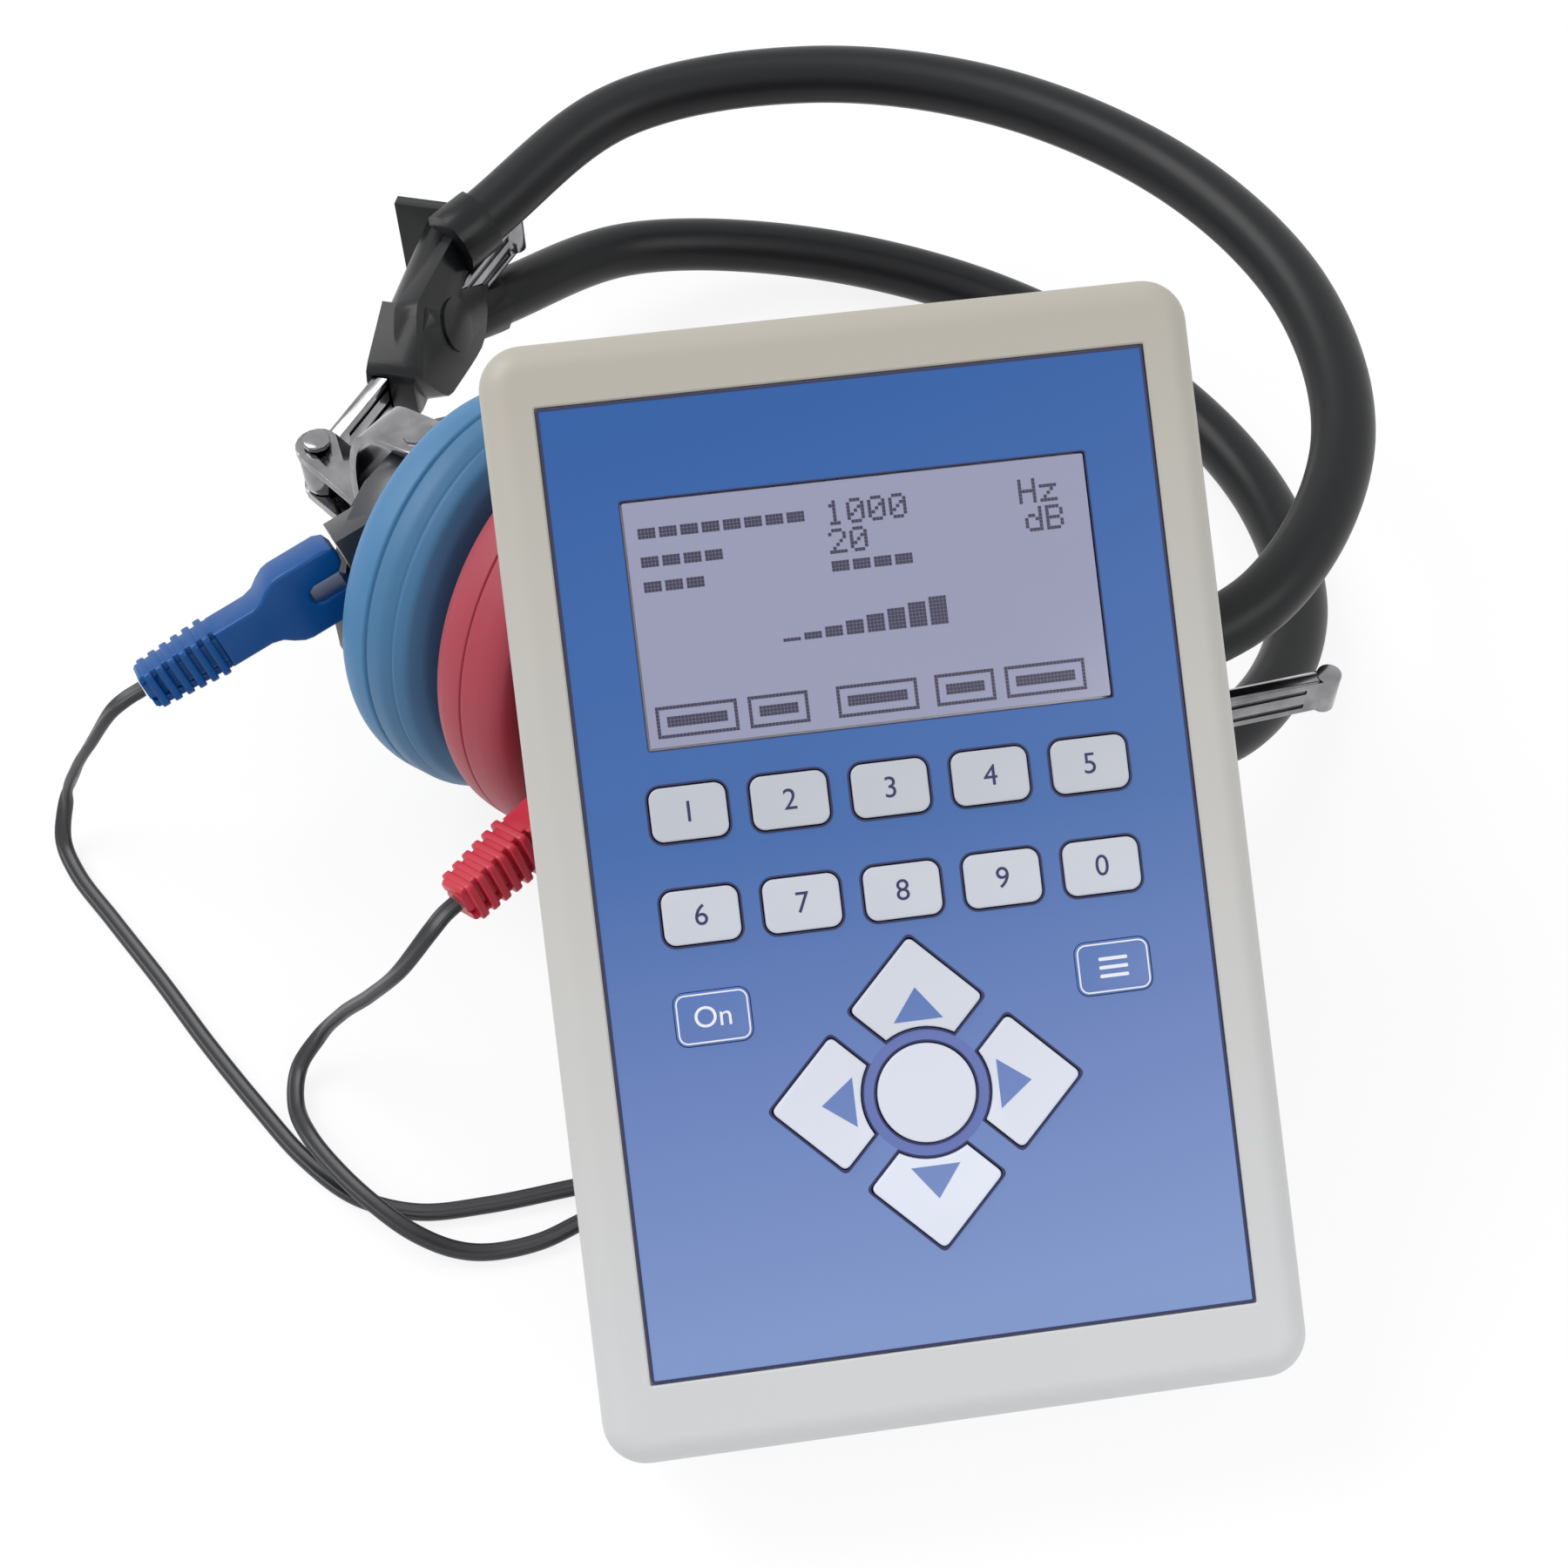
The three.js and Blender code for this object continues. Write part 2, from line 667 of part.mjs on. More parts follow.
add(unit, "battery", battery(), steel);
add(unit, "battery_snap", batterySnap(), softBlack);
add(unit, "battery_door", batteryDoor(), bezel);
add(unit, "earphone_socket", earphoneSocket(), black);
bossPlaces.forEach(([x, y], i) => add(unit, "screw_" + (i + 1), screw().translate(x, y, 0), steel));
["foot_lower", "foot_upper"].forEach((name, i) => {
  const y = i ? unitHeight - footInset - footWidth : footInset;
  const strip = block(-footLength / 2, footLength / 2, y, y + footWidth, -gap - footHeight, -gap);
  add(unit, name, strip, softBlack);
});

// Headband tubes
function bandPoint([shareX, shareY], level) {
  const x = shareX * bandHalf;
  const y = shareY * bandHalf;
  return [
    bandCentre[0] + x * Math.cos(bandTurn) - y * Math.sin(bandTurn),
    bandCentre[1] + x * Math.sin(bandTurn) + y * Math.cos(bandTurn), level,
  ];
}

function bandCurve(side) {
  const last = bandPlanShares.length - 1;
  const apexSpread = apexMid - tubeRadius;
  const points = bandPlanShares.map((share, i) => {
    const x = (2 * i) / last - 1;
    const endMid = x < 0 ? leftMid : rightMid;
    const middle = apexMid + (endMid - apexMid) * x * x;
    const spread = apexSpread + (endSpread - apexSpread) * Math.abs(x) ** spreadPower;
    return bandPoint(share, middle + side * spread);
  });
  return smooth(points);
}

const bandCurves = [bandCurve(1), bandCurve(-1)];
["band_tube_upper", "band_tube_lower"].forEach((name, i) => {
  add(kit, name, tube(bandCurves[i], tubeRadius, tubeSides, tubeSteps), softBlack);
});

// A frame that stands on a place, with +Y towards another place and Z up.
function risingFrame(foot, top, origin) {
  const up = top.clone().sub(foot).normalize();
  const level = new THREE.Vector3(0, 0, 1);
  return new THREE.Matrix4().makeBasis(up.clone().cross(level), up, level).setPosition(origin);
}

// Clamp: +Y up its column, X across it towards the tubes on the left one, Z up from between the tubes
function clamp(columnTop, columnFoot, nose, rodTop, side, end) {
  const middle = bandCurves[0].getPoint(end).add(bandCurves[1].getPoint(end)).multiplyScalar(1 / 2).z;
  const top = new THREE.Vector3(...columnTop, middle);
  const frame = risingFrame(new THREE.Vector3(...columnFoot, middle), top, top);
  const back = frame.clone().invert();
  const bottom = -chuteLength - blockLength;
  const chute = disc(chuteRadius, -chuteLength - weld, 0).rotateX(-Math.PI / 2)
    .translate(0, 0, chuteRise);
  const standing = new THREE.Matrix4().makeBasis(
    new THREE.Vector3(0, 1, 0), new THREE.Vector3(0, 0, 1), new THREE.Vector3(1, 0, 0));
  const blockForm = slab(roundedShape([
    [-chuteLength, blockRise], [bottom, blockRise - blockSlope], [bottom, -blockDrop],
    [-chuteLength, -blockDrop],
  ], [0, flangeThickness, flangeThickness, 0]), -blockOuter, blockInner).applyMatrix4(standing);
  const flange = block(-flangeOut, flangeIn, -flangeThickness, 0, -flangeDown, flangeUp);
  const plateShape = roundedShape(plateShares.map(([along, out]) => [-bottom * along, plateHeight * out]),
    plateCornerShares.map((share) => share * plateCorner));
  const plate = slab(plateShape, -plateThickness, 0).applyMatrix4(standing);
  const dish = disc(badgeRadius, -badgeRim, badgeRise).rotateY(Math.PI / 2)
    .translate(0, -badgeRow, badgeLevel);
  const leaf = join(plate, dish).rotateY(-plateTilt).translate(plateFace, 0, 0);
  const column = join(chute, blockForm, flange, leaf);
  if (side < 0) column.scale(-1, 1, 1);
  const sleeves = [];
  const bores = [];
  bandCurves.forEach((curve) => {
    const at = curve.getPoint(end);
    const tangent = curve.getTangent(end).multiplyScalar(end ? -1 : 1);
    const away = aim(disc(tubeRadius + sleeveWall, -sleeveBack, sleeveReach, tubeSides), at, tangent);
    sleeves.push(away.applyMatrix4(back));
    bores.push(aim(disc(tubeRadius + 2 * gap, -gap, gap, tubeSides), at, tangent).applyMatrix4(back));
    bores.push(tube(curve, tubeRadius + gap, tubeSides, tubeSteps).applyMatrix4(back));
  });
  const foot = new THREE.Vector3(...nose);
  const rodEnd = new THREE.Vector3(...rodTop);
  const slot = block(-rodThickness / 2 - gap, rodThickness / 2 + gap, 0, foot.distanceTo(rodEnd),
    -rodWidth / 2 - gap, rodWidth / 2 + gap).applyMatrix4(risingFrame(foot, rodEnd, foot)).applyMatrix4(back);
  return cut(join(column, ...sleeves), slot, ...bores).applyMatrix4(frame);
}

add(kit, "clamp_left", clamp(leftColumnTop, leftColumnFoot, leftNose, leftRodTop, 1, 0), black);
add(kit, "clamp_right", clamp(rightColumnTop, rightColumnFoot, rightNose, rightRodTop, -1, 1), black);

// Slide rod: a ribbed strip with a rolled stop at its top and a barrel at its nose
function slideRod(nose, rodTop) {
  const foot = new THREE.Vector3(...nose);
  const top = new THREE.Vector3(...rodTop);
  const frame = risingFrame(foot, top, foot);
  const end = top.distanceTo(foot) - rodFlare;
  const strip = block(-rodThickness / 2, rodThickness / 2, 0, end, -rodWidth / 2, rodWidth / 2);
  const grooves = [];
  [-1, 1].forEach((face) => [-1, 1].forEach((lane) => {
    const x = (face * rodThickness) / 2;
    const z = (lane * rodWidth) / 4;
    grooves.push(block(x - rodGroove, x + rodGroove, 2 * rodBarrel, end - 2 * rodFlare, z - rodGroove,
      z + rodGroove));
  }));
  const barrel = disc(rodBarrel, -rodWidth / 2, rodWidth / 2);
  const roll = disc(rodFlare, -rodWidth / 2 - gap, rodWidth / 2 + gap).translate(0, end, 0);
  const pin = disc(rivetRadius + gap, -rodWidth, rodWidth, pinSides);
  return cut(join(cut(strip, ...grooves), barrel, roll), pin).applyMatrix4(frame);
}

add(kit, "slide_left", slideRod(leftNose, leftRodTop), chrome);
add(kit, "slide_right", slideRod(rightNose, rightRodTop), chrome);

// Earphone frame: X along the shared axis, Y level, Z upwards
const axisX = new THREE.Vector3(Math.cos(pairTurn) * Math.cos(pairPitch),
  Math.sin(pairTurn) * Math.cos(pairPitch), Math.sin(pairPitch));
const axisY = new THREE.Vector3(-Math.sin(pairTurn), Math.cos(pairTurn), 0);
const axisZ = axisX.clone().cross(axisY);
const pairFrame = new THREE.Matrix4().makeBasis(axisX, axisY, axisZ)
  .setPosition(new THREE.Vector3(...pairCentre));

// Turns a form made along +Z onto the shared axis, out to the blue or the red side.
function onAxis(geometry, side) {
  return geometry.rotateY((side * Math.PI) / 2).applyMatrix4(pairFrame);
}

function cushion(side) {
  const face = cushionFaceGap;
  const rim = cushionRadius;
  const depth = cushionDepth;
  const profile = [[0, face + cushionBoreDepth], [cushionBore, face + cushionBoreDepth]];
  cushionShares.forEach(([out, back]) => profile.push([rim * out, face + depth * back]));
  profile.push([0, depth]);
  return onAxis(turned(profile, cushionSides), side);
}

function receiverShell(side, tip, direction) {
  const start = cushionDepth + 2 * gap;
  const outer = turned([
    [0, start], [shellRadius, start], [shellRadius, shellStep],
    [shellRadius - shellWall, shellStep + shellWall / 2],
    [capRadius + shellWall / 4, shellStep + shellWall / 2 + gap], [capRadius, shellStep + shellWall],
    [capRadius, (shellStep + capDepth) / 2 + shellWall / 4], [capNose, capDepth], [0, capDepth],
  ], shellSides);
  const way = new THREE.Vector3(...direction).normalize();
  const face = new THREE.Vector3(...tip).addScaledVector(way, -plugLength);
  const half = socketBossWidth / 2;
  const bossForm = block(-half, half, -socketBossHeight / 2, socketBossHeight / 2, -socketBossDepth, 0);
  const boss = aim(bossForm, face, way, plugRoll);
  const roomWide = plugWidth / 2 + 2 * gap;
  const roomHigh = plugHeight / 2 + 2 * gap;
  const recess = aim(block(-roomWide, roomWide, -roomHigh, roomHigh, 0, plugLength), face, way, plugRoll);
  const inside = disc(shellRadius - shellWall, start - overrun, shellStep, shellSides);
  const holes = [-1, 1].map((end) => {
    const bore = disc(pivotRadius + gap, shellRadius - shellWall / 2, shellRadius + overrun, pinSides);
    if (end < 0) bore.rotateX(Math.PI);
    return bore.translate(side * pivotDepth, 0, 0).applyMatrix4(pairFrame);
  });
  return cut(join(cut(onAxis(outer, side), recess), boss), onAxis(inside, side), ...holes);
}

function receiver(side) {
  const start = cushionDepth + 3 * gap;
  return onAxis(disc(shellRadius - shellWall - gap, start, start + receiverDepth, shellSides), side);
}

// Yoke: a strap bent round the earphone, its two pivot pins, and the lugs that hold the rod's nose
function yoke(side, nose) {
  const inner = shellRadius + yokeClear;
  const outer = inner + yokeThickness;
  const shape = new THREE.Shape();
  shape.moveTo(yokeTip, -outer);
  shape.lineTo(yokeBend, -outer);
  shape.absellipse(yokeBend, 0, yokeReach, outer, -Math.PI / 2, Math.PI / 2, false);
  shape.lineTo(yokeTip, outer);
  shape.lineTo(yokeTip, inner);
  shape.lineTo(yokeBend, inner);
  shape.absellipse(yokeBend, 0, yokeReach - yokeThickness, inner, Math.PI / 2, -Math.PI / 2, true);
  shape.lineTo(yokeTip, -inner);
  shape.closePath();
  const strap = new THREE.ExtrudeGeometry(shape, {
    depth: yokeWidth, bevelEnabled: false, curveSegments: yokeSteps,
  });
  strap.rotateX(Math.PI / 2).translate(0, yokeWidth / 2, 0);
  if (side < 0) strap.rotateZ(Math.PI);
  strap.applyMatrix4(pairFrame);
  const pins = [-1, 1].map((end) => {
    const shaft = disc(pivotRadius, shellRadius - shellWall / 4, outer, pinSides);
    const head = disc(pivotHead, outer - weld, outer + pivotHeadDepth, pinSides);
    const pin = join(shaft, head);
    if (end < 0) pin.rotateX(Math.PI);
    return pin.translate(side * pivotDepth, 0, 0).applyMatrix4(pairFrame);
  });
  const noseAt = new THREE.Vector3(...nose);
  const local = noseAt.clone().applyMatrix4(pairFrame.clone().invert());
  const lugs = [-1, 1].flatMap((end) => {
    const rise = end * (rodWidth / 2 + gap + lugThickness / 2);
    const level = local.z + rise;
    const reach = yokeBend + yokeReach * Math.sqrt(1 - (level / outer) ** 2) - gap;
    const from = new THREE.Vector3(side * reach, 0, level).applyMatrix4(pairFrame);
    const to = noseAt.clone().setZ(noseAt.z + rise);
    const eye = disc(lugWidth / 2, -lugThickness / 2, lugThickness / 2).translate(to.x, to.y, to.z);
    const start = from.clone();
    start.z = to.z;
    return [bar(start, to, lugWidth, lugThickness), eye];
  });
  const hole = disc(rivetRadius + gap, -rodWidth, rodWidth, pinSides).translate(noseAt.x, noseAt.y, noseAt.z);
  return cut(join(strap, ...pins, ...lugs), hole);
}

function rivet(nose) {
  const reach = rodWidth / 2 + gap + lugThickness + gap;
  const shaft = disc(rivetRadius, -reach - rivetHeadDepth / 2, reach + rivetHeadDepth / 2, pinSides);
  const heads = [-1, 1].map((end) => disc(rivetHead, -rivetHeadDepth / 2, rivetHeadDepth / 2, pinSides)
    .translate(0, 0, end * (reach + rivetHeadDepth / 2)));
  return join(shaft, ...heads).translate(...nose);
}

// Earphone plug: a two-pronged moulding that narrows to a ribbed strain relief
function plug(tip, direction) {
  const way = new THREE.Vector3(...direction).normalize();
  const from = new THREE.Vector3(...tip).addScaledVector(way, -plugLength);
  const outline = (grow) => {
    const x = plugWidth / 2 + grow;
    const slot = prongGap / 2 - grow;
    const start = 2 * gap - grow;
    const end = reliefStart + overrun + grow;
    const neck = plugNeckHalf + grow;
    return roundedShape([
      [-x, start], [-slot, start], [-slot, prongLength + grow], [slot, prongLength + grow], [slot, start],
      [x, start], [x, plugShoulder], [neck, plugNeck], [neck, end], [-neck, end], [-neck, plugNeck],
      [-x, plugShoulder],
    ], plugCornerShares.map((share) => share * plugEdge));
  };
  const head = softSlab(outline, -plugHeight / 2, plugHeight / 2, plugEdge);
  head.applyMatrix4(new THREE.Matrix4().makeBasis(
    new THREE.Vector3(1, 0, 0), new THREE.Vector3(0, 0, 1), new THREE.Vector3(0, -1, 0)));
  const profile = [[0, reliefStart]];
  const pitch = (plugLength - reliefStart) / reliefRibs;
  for (let i = 0; i < reliefRibs; i += 1) {
    const radius = reliefWide + ((reliefNarrow - reliefWide) * i) / (reliefRibs - 1);
    const z = reliefStart + i * pitch;
    const [crest, fall, valley] = ribShares.map((share) => z + pitch * share);
    profile.push([radius, z], [radius, crest], [radius - reliefGroove, fall]);
    if (i < reliefRibs - 1) profile.push([radius - reliefGroove, valley]);
  }
  const last = profile[profile.length - 1];
  profile.push([last[0], plugLength], [0, plugLength]);
  return aim(join(head, turned(profile, pinSides)), from, way, plugRoll);
}

const sides = [
  {
    name: "left", side: -1, nose: leftNose, tip: leftPlugTip, aimAt: leftPlugAim,
    pad: blueRubber, moulding: bluePlug,
  },
  {
    name: "right", side: 1, nose: rightNose, tip: rightPlugTip, aimAt: rightPlugAim,
    pad: redRubber, moulding: redPlug,
  },
];
sides.forEach(({ name, side, nose, tip, aimAt, pad, moulding }) => {
  add(kit, "cushion_" + name, cushion(side), pad);
  add(kit, "earphone_" + name, receiverShell(side, tip, aimAt), black);
  add(kit, "receiver_" + name, receiver(side), steel);
  add(kit, "yoke_" + name, yoke(side, nose), chrome);
  add(kit, "rivet_" + name, rivet(nose), chrome);
  add(kit, "plug_" + name, plug(tip, aimAt), moulding);
});

// Cord: two legs that meet in a moulding, a lead to the coil, the coil, and its tail to the unit's plug
function trimmed(points, radius, steps) {
  const curve = smooth(points);
  return tube(curve, radius, legSides, steps);
}

function offEnd(points, direction) {
  const way = new THREE.Vector3(...direction).normalize();
  const first = new THREE.Vector3(...points[0]);
  const starts = [2 * gap, 2 * legRadius].map((far) => first.clone().addScaledVector(way, far));
  return [...starts.map((start) => start.toArray()), ...points.slice(1)];
}

add(kit, "cord_left", trimmed(offEnd(leftCordPoints, leftPlugAim), legRadius, leftLegSteps), cordBlack);
add(kit, "cord_right", trimmed(offEnd(rightCordPoints, rightPlugAim), legRadius, rightLegSteps), cordBlack);

function junction() {
  const outline = (grow) => rectangle(junctionLength + 2 * grow, junctionWidth + 2 * grow, junctionEdge);
  const made = softSlab(outline, weld, junctionHeight, junctionEdge);
  return made.translate(junctionPlace[0] + junctionLength / 2, junctionPlace[1], 0);
}
add(kit, "cord_junction", junction(), cordBlack);

class Coil extends THREE.Curve {
  constructor() {
    super();
    this.arcLengthDivisions = 3000;
    this.pitch = 2 * mainRadius + coilGap;
    this.perLayer = coilTurns / coilLayers;
    this.outer = coilMeanRadius + (this.perLayer * this.pitch) / 2;
    this.straight = 2 * mainRadius;
    this.wound = coilTurns * 2 * Math.PI * coilMeanRadius;
    this.whole = this.wound + 2 * this.straight;
  }

  onTurn(turn) {
    const layer = Math.min(Math.floor(turn / this.perLayer), coilLayers - 1);
    const within = turn - layer * this.perLayer;
    const inwards = layer % 2 === 0;
    const wound = inwards ? within : this.perLayer - within;
    const radius = this.outer - wound * this.pitch;
    let climb = 0;
    for (let k = 1; k < coilLayers; k += 1) {
      const phase = (turn - k * this.perLayer) / coilClimbTurns + 1 / 2;
      climb += Math.min(Math.max(phase, 0), 1);
    }
    const angle = coilStart + turn * 2 * Math.PI;
    return new THREE.Vector3(coilCentre[0] + radius * Math.cos(angle),
      coilCentre[1] + radius * Math.sin(angle), coilFloor + climb * this.pitch);
  }

  getPoint(t, target = new THREE.Vector3()) {
    const along = t * this.whole - this.straight;
    const turn = Math.min(Math.max(along / (2 * Math.PI * coilMeanRadius), 0), coilTurns);
    target.copy(this.onTurn(turn));
    const angle = coilStart + turn * 2 * Math.PI;
    const spare = along - turn * 2 * Math.PI * coilMeanRadius;
    return target.add(new THREE.Vector3(-Math.sin(angle), Math.cos(angle), 0).multiplyScalar(spare));
  }
}

const coil = new Coil();
const coilSteps = Math.round(coilTurns * coilStepsPerTurn);
const coilPoints = coil.getSpacedPoints(coilSteps * coilSamples);
let leastGap = Infinity;
const turnPoints = coilStepsPerTurn * coilSamples;
coilPoints.forEach((point, i) => {
  for (let j = i + Math.round(turnPoints / 3); j < coilPoints.length; j += 1) {
    leastGap = Math.min(leastGap, point.distanceTo(coilPoints[j]) - 2 * mainRadius);
  }
});
console.log("coil: least gap " + leastGap.toFixed(2) + " mm, length " + coil.getLength().toFixed(0) + " mm");
add(kit, "cord_coil", tube(coil, mainRadius, coilSides, coilSteps), cordBlack);
add(kit, "cord_lead", trimmed(leadPoints, mainRadius, leadSteps), cordBlack);

// Right-angled plug in the unit's earphone socket
function unitPlug() {
  const pin = disc(jackRadius, -gap - plugBodyDepth / 2, jackLength);
  const body = disc(plugBodyRadius, -gap - plugBodyDepth, -gap);
  const centre = -gap - plugBodyDepth / 2;
  const barrel = disc(plugBarrel, 0, plugBarrelLength).rotateY(-Math.PI / 2).translate(0, 0, centre);
  const relief = turned([
    [0, plugBarrelLength - overrun], [plugTailWide, plugBarrelLength - overrun],
    [mainRadius + gap, plugBarrelLength + plugTailLength], [0, plugBarrelLength + plugTailLength],
  ], tubeSides).rotateY(-Math.PI / 2).translate(0, 0, centre);
  return join(pin, body, barrel, relief).translate(socketX, socketRow, 0);
}
add(unit, "unit_plug", unitPlug(), black);

// The tail's route is stretched evenly, so that its end meets the plug wherever the unit's width puts it.
function tailRoute() {
  const reach = plugBarrelLength + plugTailLength + 2 * gap;
  const end = new THREE.Vector3(socketX - reach, socketRow, -gap - plugBodyDepth / 2);
  unit.updateMatrix();
  end.applyMatrix4(unit.matrix);
  const last = tailPoints.length - 1;
  const shift = end.sub(new THREE.Vector3(...tailPoints[last]));
  return tailPoints.map((point, i) => new THREE.Vector3(...point).addScaledVector(shift, i / last).toArray());
}
add(kit, "cord_tail", trimmed(tailRoute(), mainRadius, tailSteps), cordBlack);

// The whole stands with its origin under the middle of everything but the cord and its plugs.
const cordPieces = ["cord_left", "cord_right", "cord_junction", "cord_lead", "cord_coil", "cord_tail",
  "unit_plug", "plug_left", "plug_right"];
const audiometer = new THREE.Group();
audiometer.add(kit);
audiometer.updateMatrixWorld(true);
const extent = new THREE.Box3();
kit.traverse((piece) => {
  if (piece.isMesh && !cordPieces.includes(piece.name)) extent.expandByObject(piece, true);
});
const middle = extent.getCenter(new THREE.Vector3());
kit.position.set(-middle.x, -middle.y, -extent.min.z);

export default audiometer;
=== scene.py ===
"""Looks of a hand-held pure tone audiometer that leans over its two-tube headset."""
import math

import bmesh
import bpy
from bpy.props import FloatProperty, FloatVectorProperty, IntProperty, PointerProperty
from mathutils import Matrix, Vector


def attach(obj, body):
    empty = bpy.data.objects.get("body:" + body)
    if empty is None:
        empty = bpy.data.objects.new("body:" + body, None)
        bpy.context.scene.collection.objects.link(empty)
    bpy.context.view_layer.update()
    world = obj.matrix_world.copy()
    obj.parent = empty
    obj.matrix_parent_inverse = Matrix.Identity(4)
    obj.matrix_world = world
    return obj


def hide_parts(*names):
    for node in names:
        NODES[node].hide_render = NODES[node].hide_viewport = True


bl_info = {
    "name": "Pure tone audiometer",
    "version": (1, 0, 0),
    "blender": (4, 5, 0),
    "location": "3D View > Sidebar > Audiometer",
    "description": "Builds the dressed audiometer, its headset and its cords around the packed frame",
    "category": "Object",
}

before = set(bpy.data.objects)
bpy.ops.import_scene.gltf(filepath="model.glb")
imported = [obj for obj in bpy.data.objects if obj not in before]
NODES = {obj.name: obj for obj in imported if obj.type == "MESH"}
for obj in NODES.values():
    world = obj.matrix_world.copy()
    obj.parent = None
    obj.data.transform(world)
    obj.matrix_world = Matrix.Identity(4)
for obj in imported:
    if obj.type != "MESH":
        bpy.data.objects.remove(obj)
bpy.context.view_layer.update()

MM = 0.001
SHIFT = Vector((-6.4980, -131.1030, -0.0164)) * MM
LEAN = math.radians(36)
BACK_EDGE = 3 * MM
SINK = BACK_EDGE * (1 - math.sin(LEAN) - math.cos(LEAN))
LAYOUT = Matrix.Translation(SHIFT)
UNIT = Matrix.Translation(SHIFT + Vector((0, -SINK * math.tan(LEAN), SINK))) @ Matrix.Rotation(LEAN, 4, "X")
PAIR_TURN = math.radians(-44.8)
PAIR_PITCH = math.radians(10.1)
PAIR_CENTRE = Vector((-48, 141.9, 44)) * MM
KEY_PITCH = 15.85 * MM
PANEL_TOP = 35.5 * MM
PANEL_UNDER = 34.7 * MM
GAP = 0.3 * MM
SKIN = 0.03 * MM
HOME = Matrix.Identity(4)
DULLING = 0.25
BUMP_SHARE = 0.35
BEND_SHARE = 0.45
STEEP = 0.05
CURVE_STEPS = 24


def linear(red, green, blue):
    """A screen colour, 0 to 255, as scene-linear values."""
    out = []
    for value in (red, green, blue):
        share = value / 255
        out.append(share / 12.92 if share <= 0.04045 else ((share + 0.055) / 1.055) ** 2.4)
    return tuple(out)


def pair_matrix():
    """The place of the two earphones, cushion to cushion: X runs out through the right one."""
    x = Vector((
        math.cos(PAIR_TURN) * math.cos(PAIR_PITCH),
        math.sin(PAIR_TURN) * math.cos(PAIR_PITCH),
        math.sin(PAIR_PITCH),
    ))
    y = Vector((-math.sin(PAIR_TURN), math.cos(PAIR_TURN), 0))
    z = x.cross(y)
    turn = Matrix((x, y, z)).transposed().to_4x4()
    return Matrix.Translation(PAIR_CENTRE + SHIFT) @ turn


SIDES = {"left": pair_matrix() @ Matrix.Rotation(math.pi, 4, "Z"), "right": pair_matrix()}


# Sizes and colours that a user would change
def length(name, description, default):
    return FloatProperty(
        name=name, description=description, default=default, min=0, unit="LENGTH", precision=5)


def colour(name, description, default):
    return FloatVectorProperty(
        name=name, description=description, default=default, subtype="COLOR", size=3, min=0, max=1)


class UnitSizes(bpy.types.PropertyGroup):
    """Sizes of the hand-held unit"""
    width: length("Case width", "Across the keypad", 112.8 * MM)
    height: length("Case length", "Along the keypad", 176 * MM)
    depth: length("Case depth", "From the back to the bezel", 35.8 * MM)
    corner: length("Corner radius", "Of the case's outline", 7 * MM)
    front_edge: length("Front edge radius", "Of the bezel's soft edge", 5 * MM)
    split: length("Split height", "Where the two shells meet", 15 * MM)
    wall: length("Wall", "Thickness of the case", 2.5 * MM)
    panel_width: length("Panel width", "Of the printed panel", 95.6 * MM)
    panel_height: length("Panel length", "Of the printed panel", 151.8 * MM)
    panel_bottom: length("Panel margin", "From the case's lower end to the panel", 13.25 * MM)
    window_width: length("Window width", "Of the display window", 72.8 * MM)
    window_height: length("Window height", "Of the display window", 38.3 * MM)
    window_bottom: length("Window place", "From the case's lower end to the window", 110.9 * MM)
    key_width: length("Key width", "Of each number key", 12 * MM)
    key_height: length("Key height", "Of each number key", 8.4 * MM)
    key_corner: length("Key corner", "Radius of a key's corners", 1.8 * MM)
    digit_size: length("Digit size", "Of the type on a key", 4.7 * MM)
    dot_pitch: length("Dot pitch", "Between the display's dots", 0.556 * MM)


class HeadsetSizes(bpy.types.PropertyGroup):
    """Sizes of the headset and its cords"""
    tube_radius: length("Tube radius", "Of each headband tube", 6 * MM)
    cushion_radius: length("Cushion radius", "Of each earphone cushion", 39.8 * MM)
    cushion_depth: length("Cushion depth", "From its face to its back", 21 * MM)
    leg_width: length("Leg width", "Of the flat cord's two legs", 3.2 * MM)
    leg_height: length("Leg height", "Of the flat cord's two legs", 2 * MM)
    main_width: length("Cord width", "Of the cord between moulding and unit", 3.6 * MM)
    relief_ribs: IntProperty(name="Relief ribs", description="On each plug's strain relief", default=6, min=2)


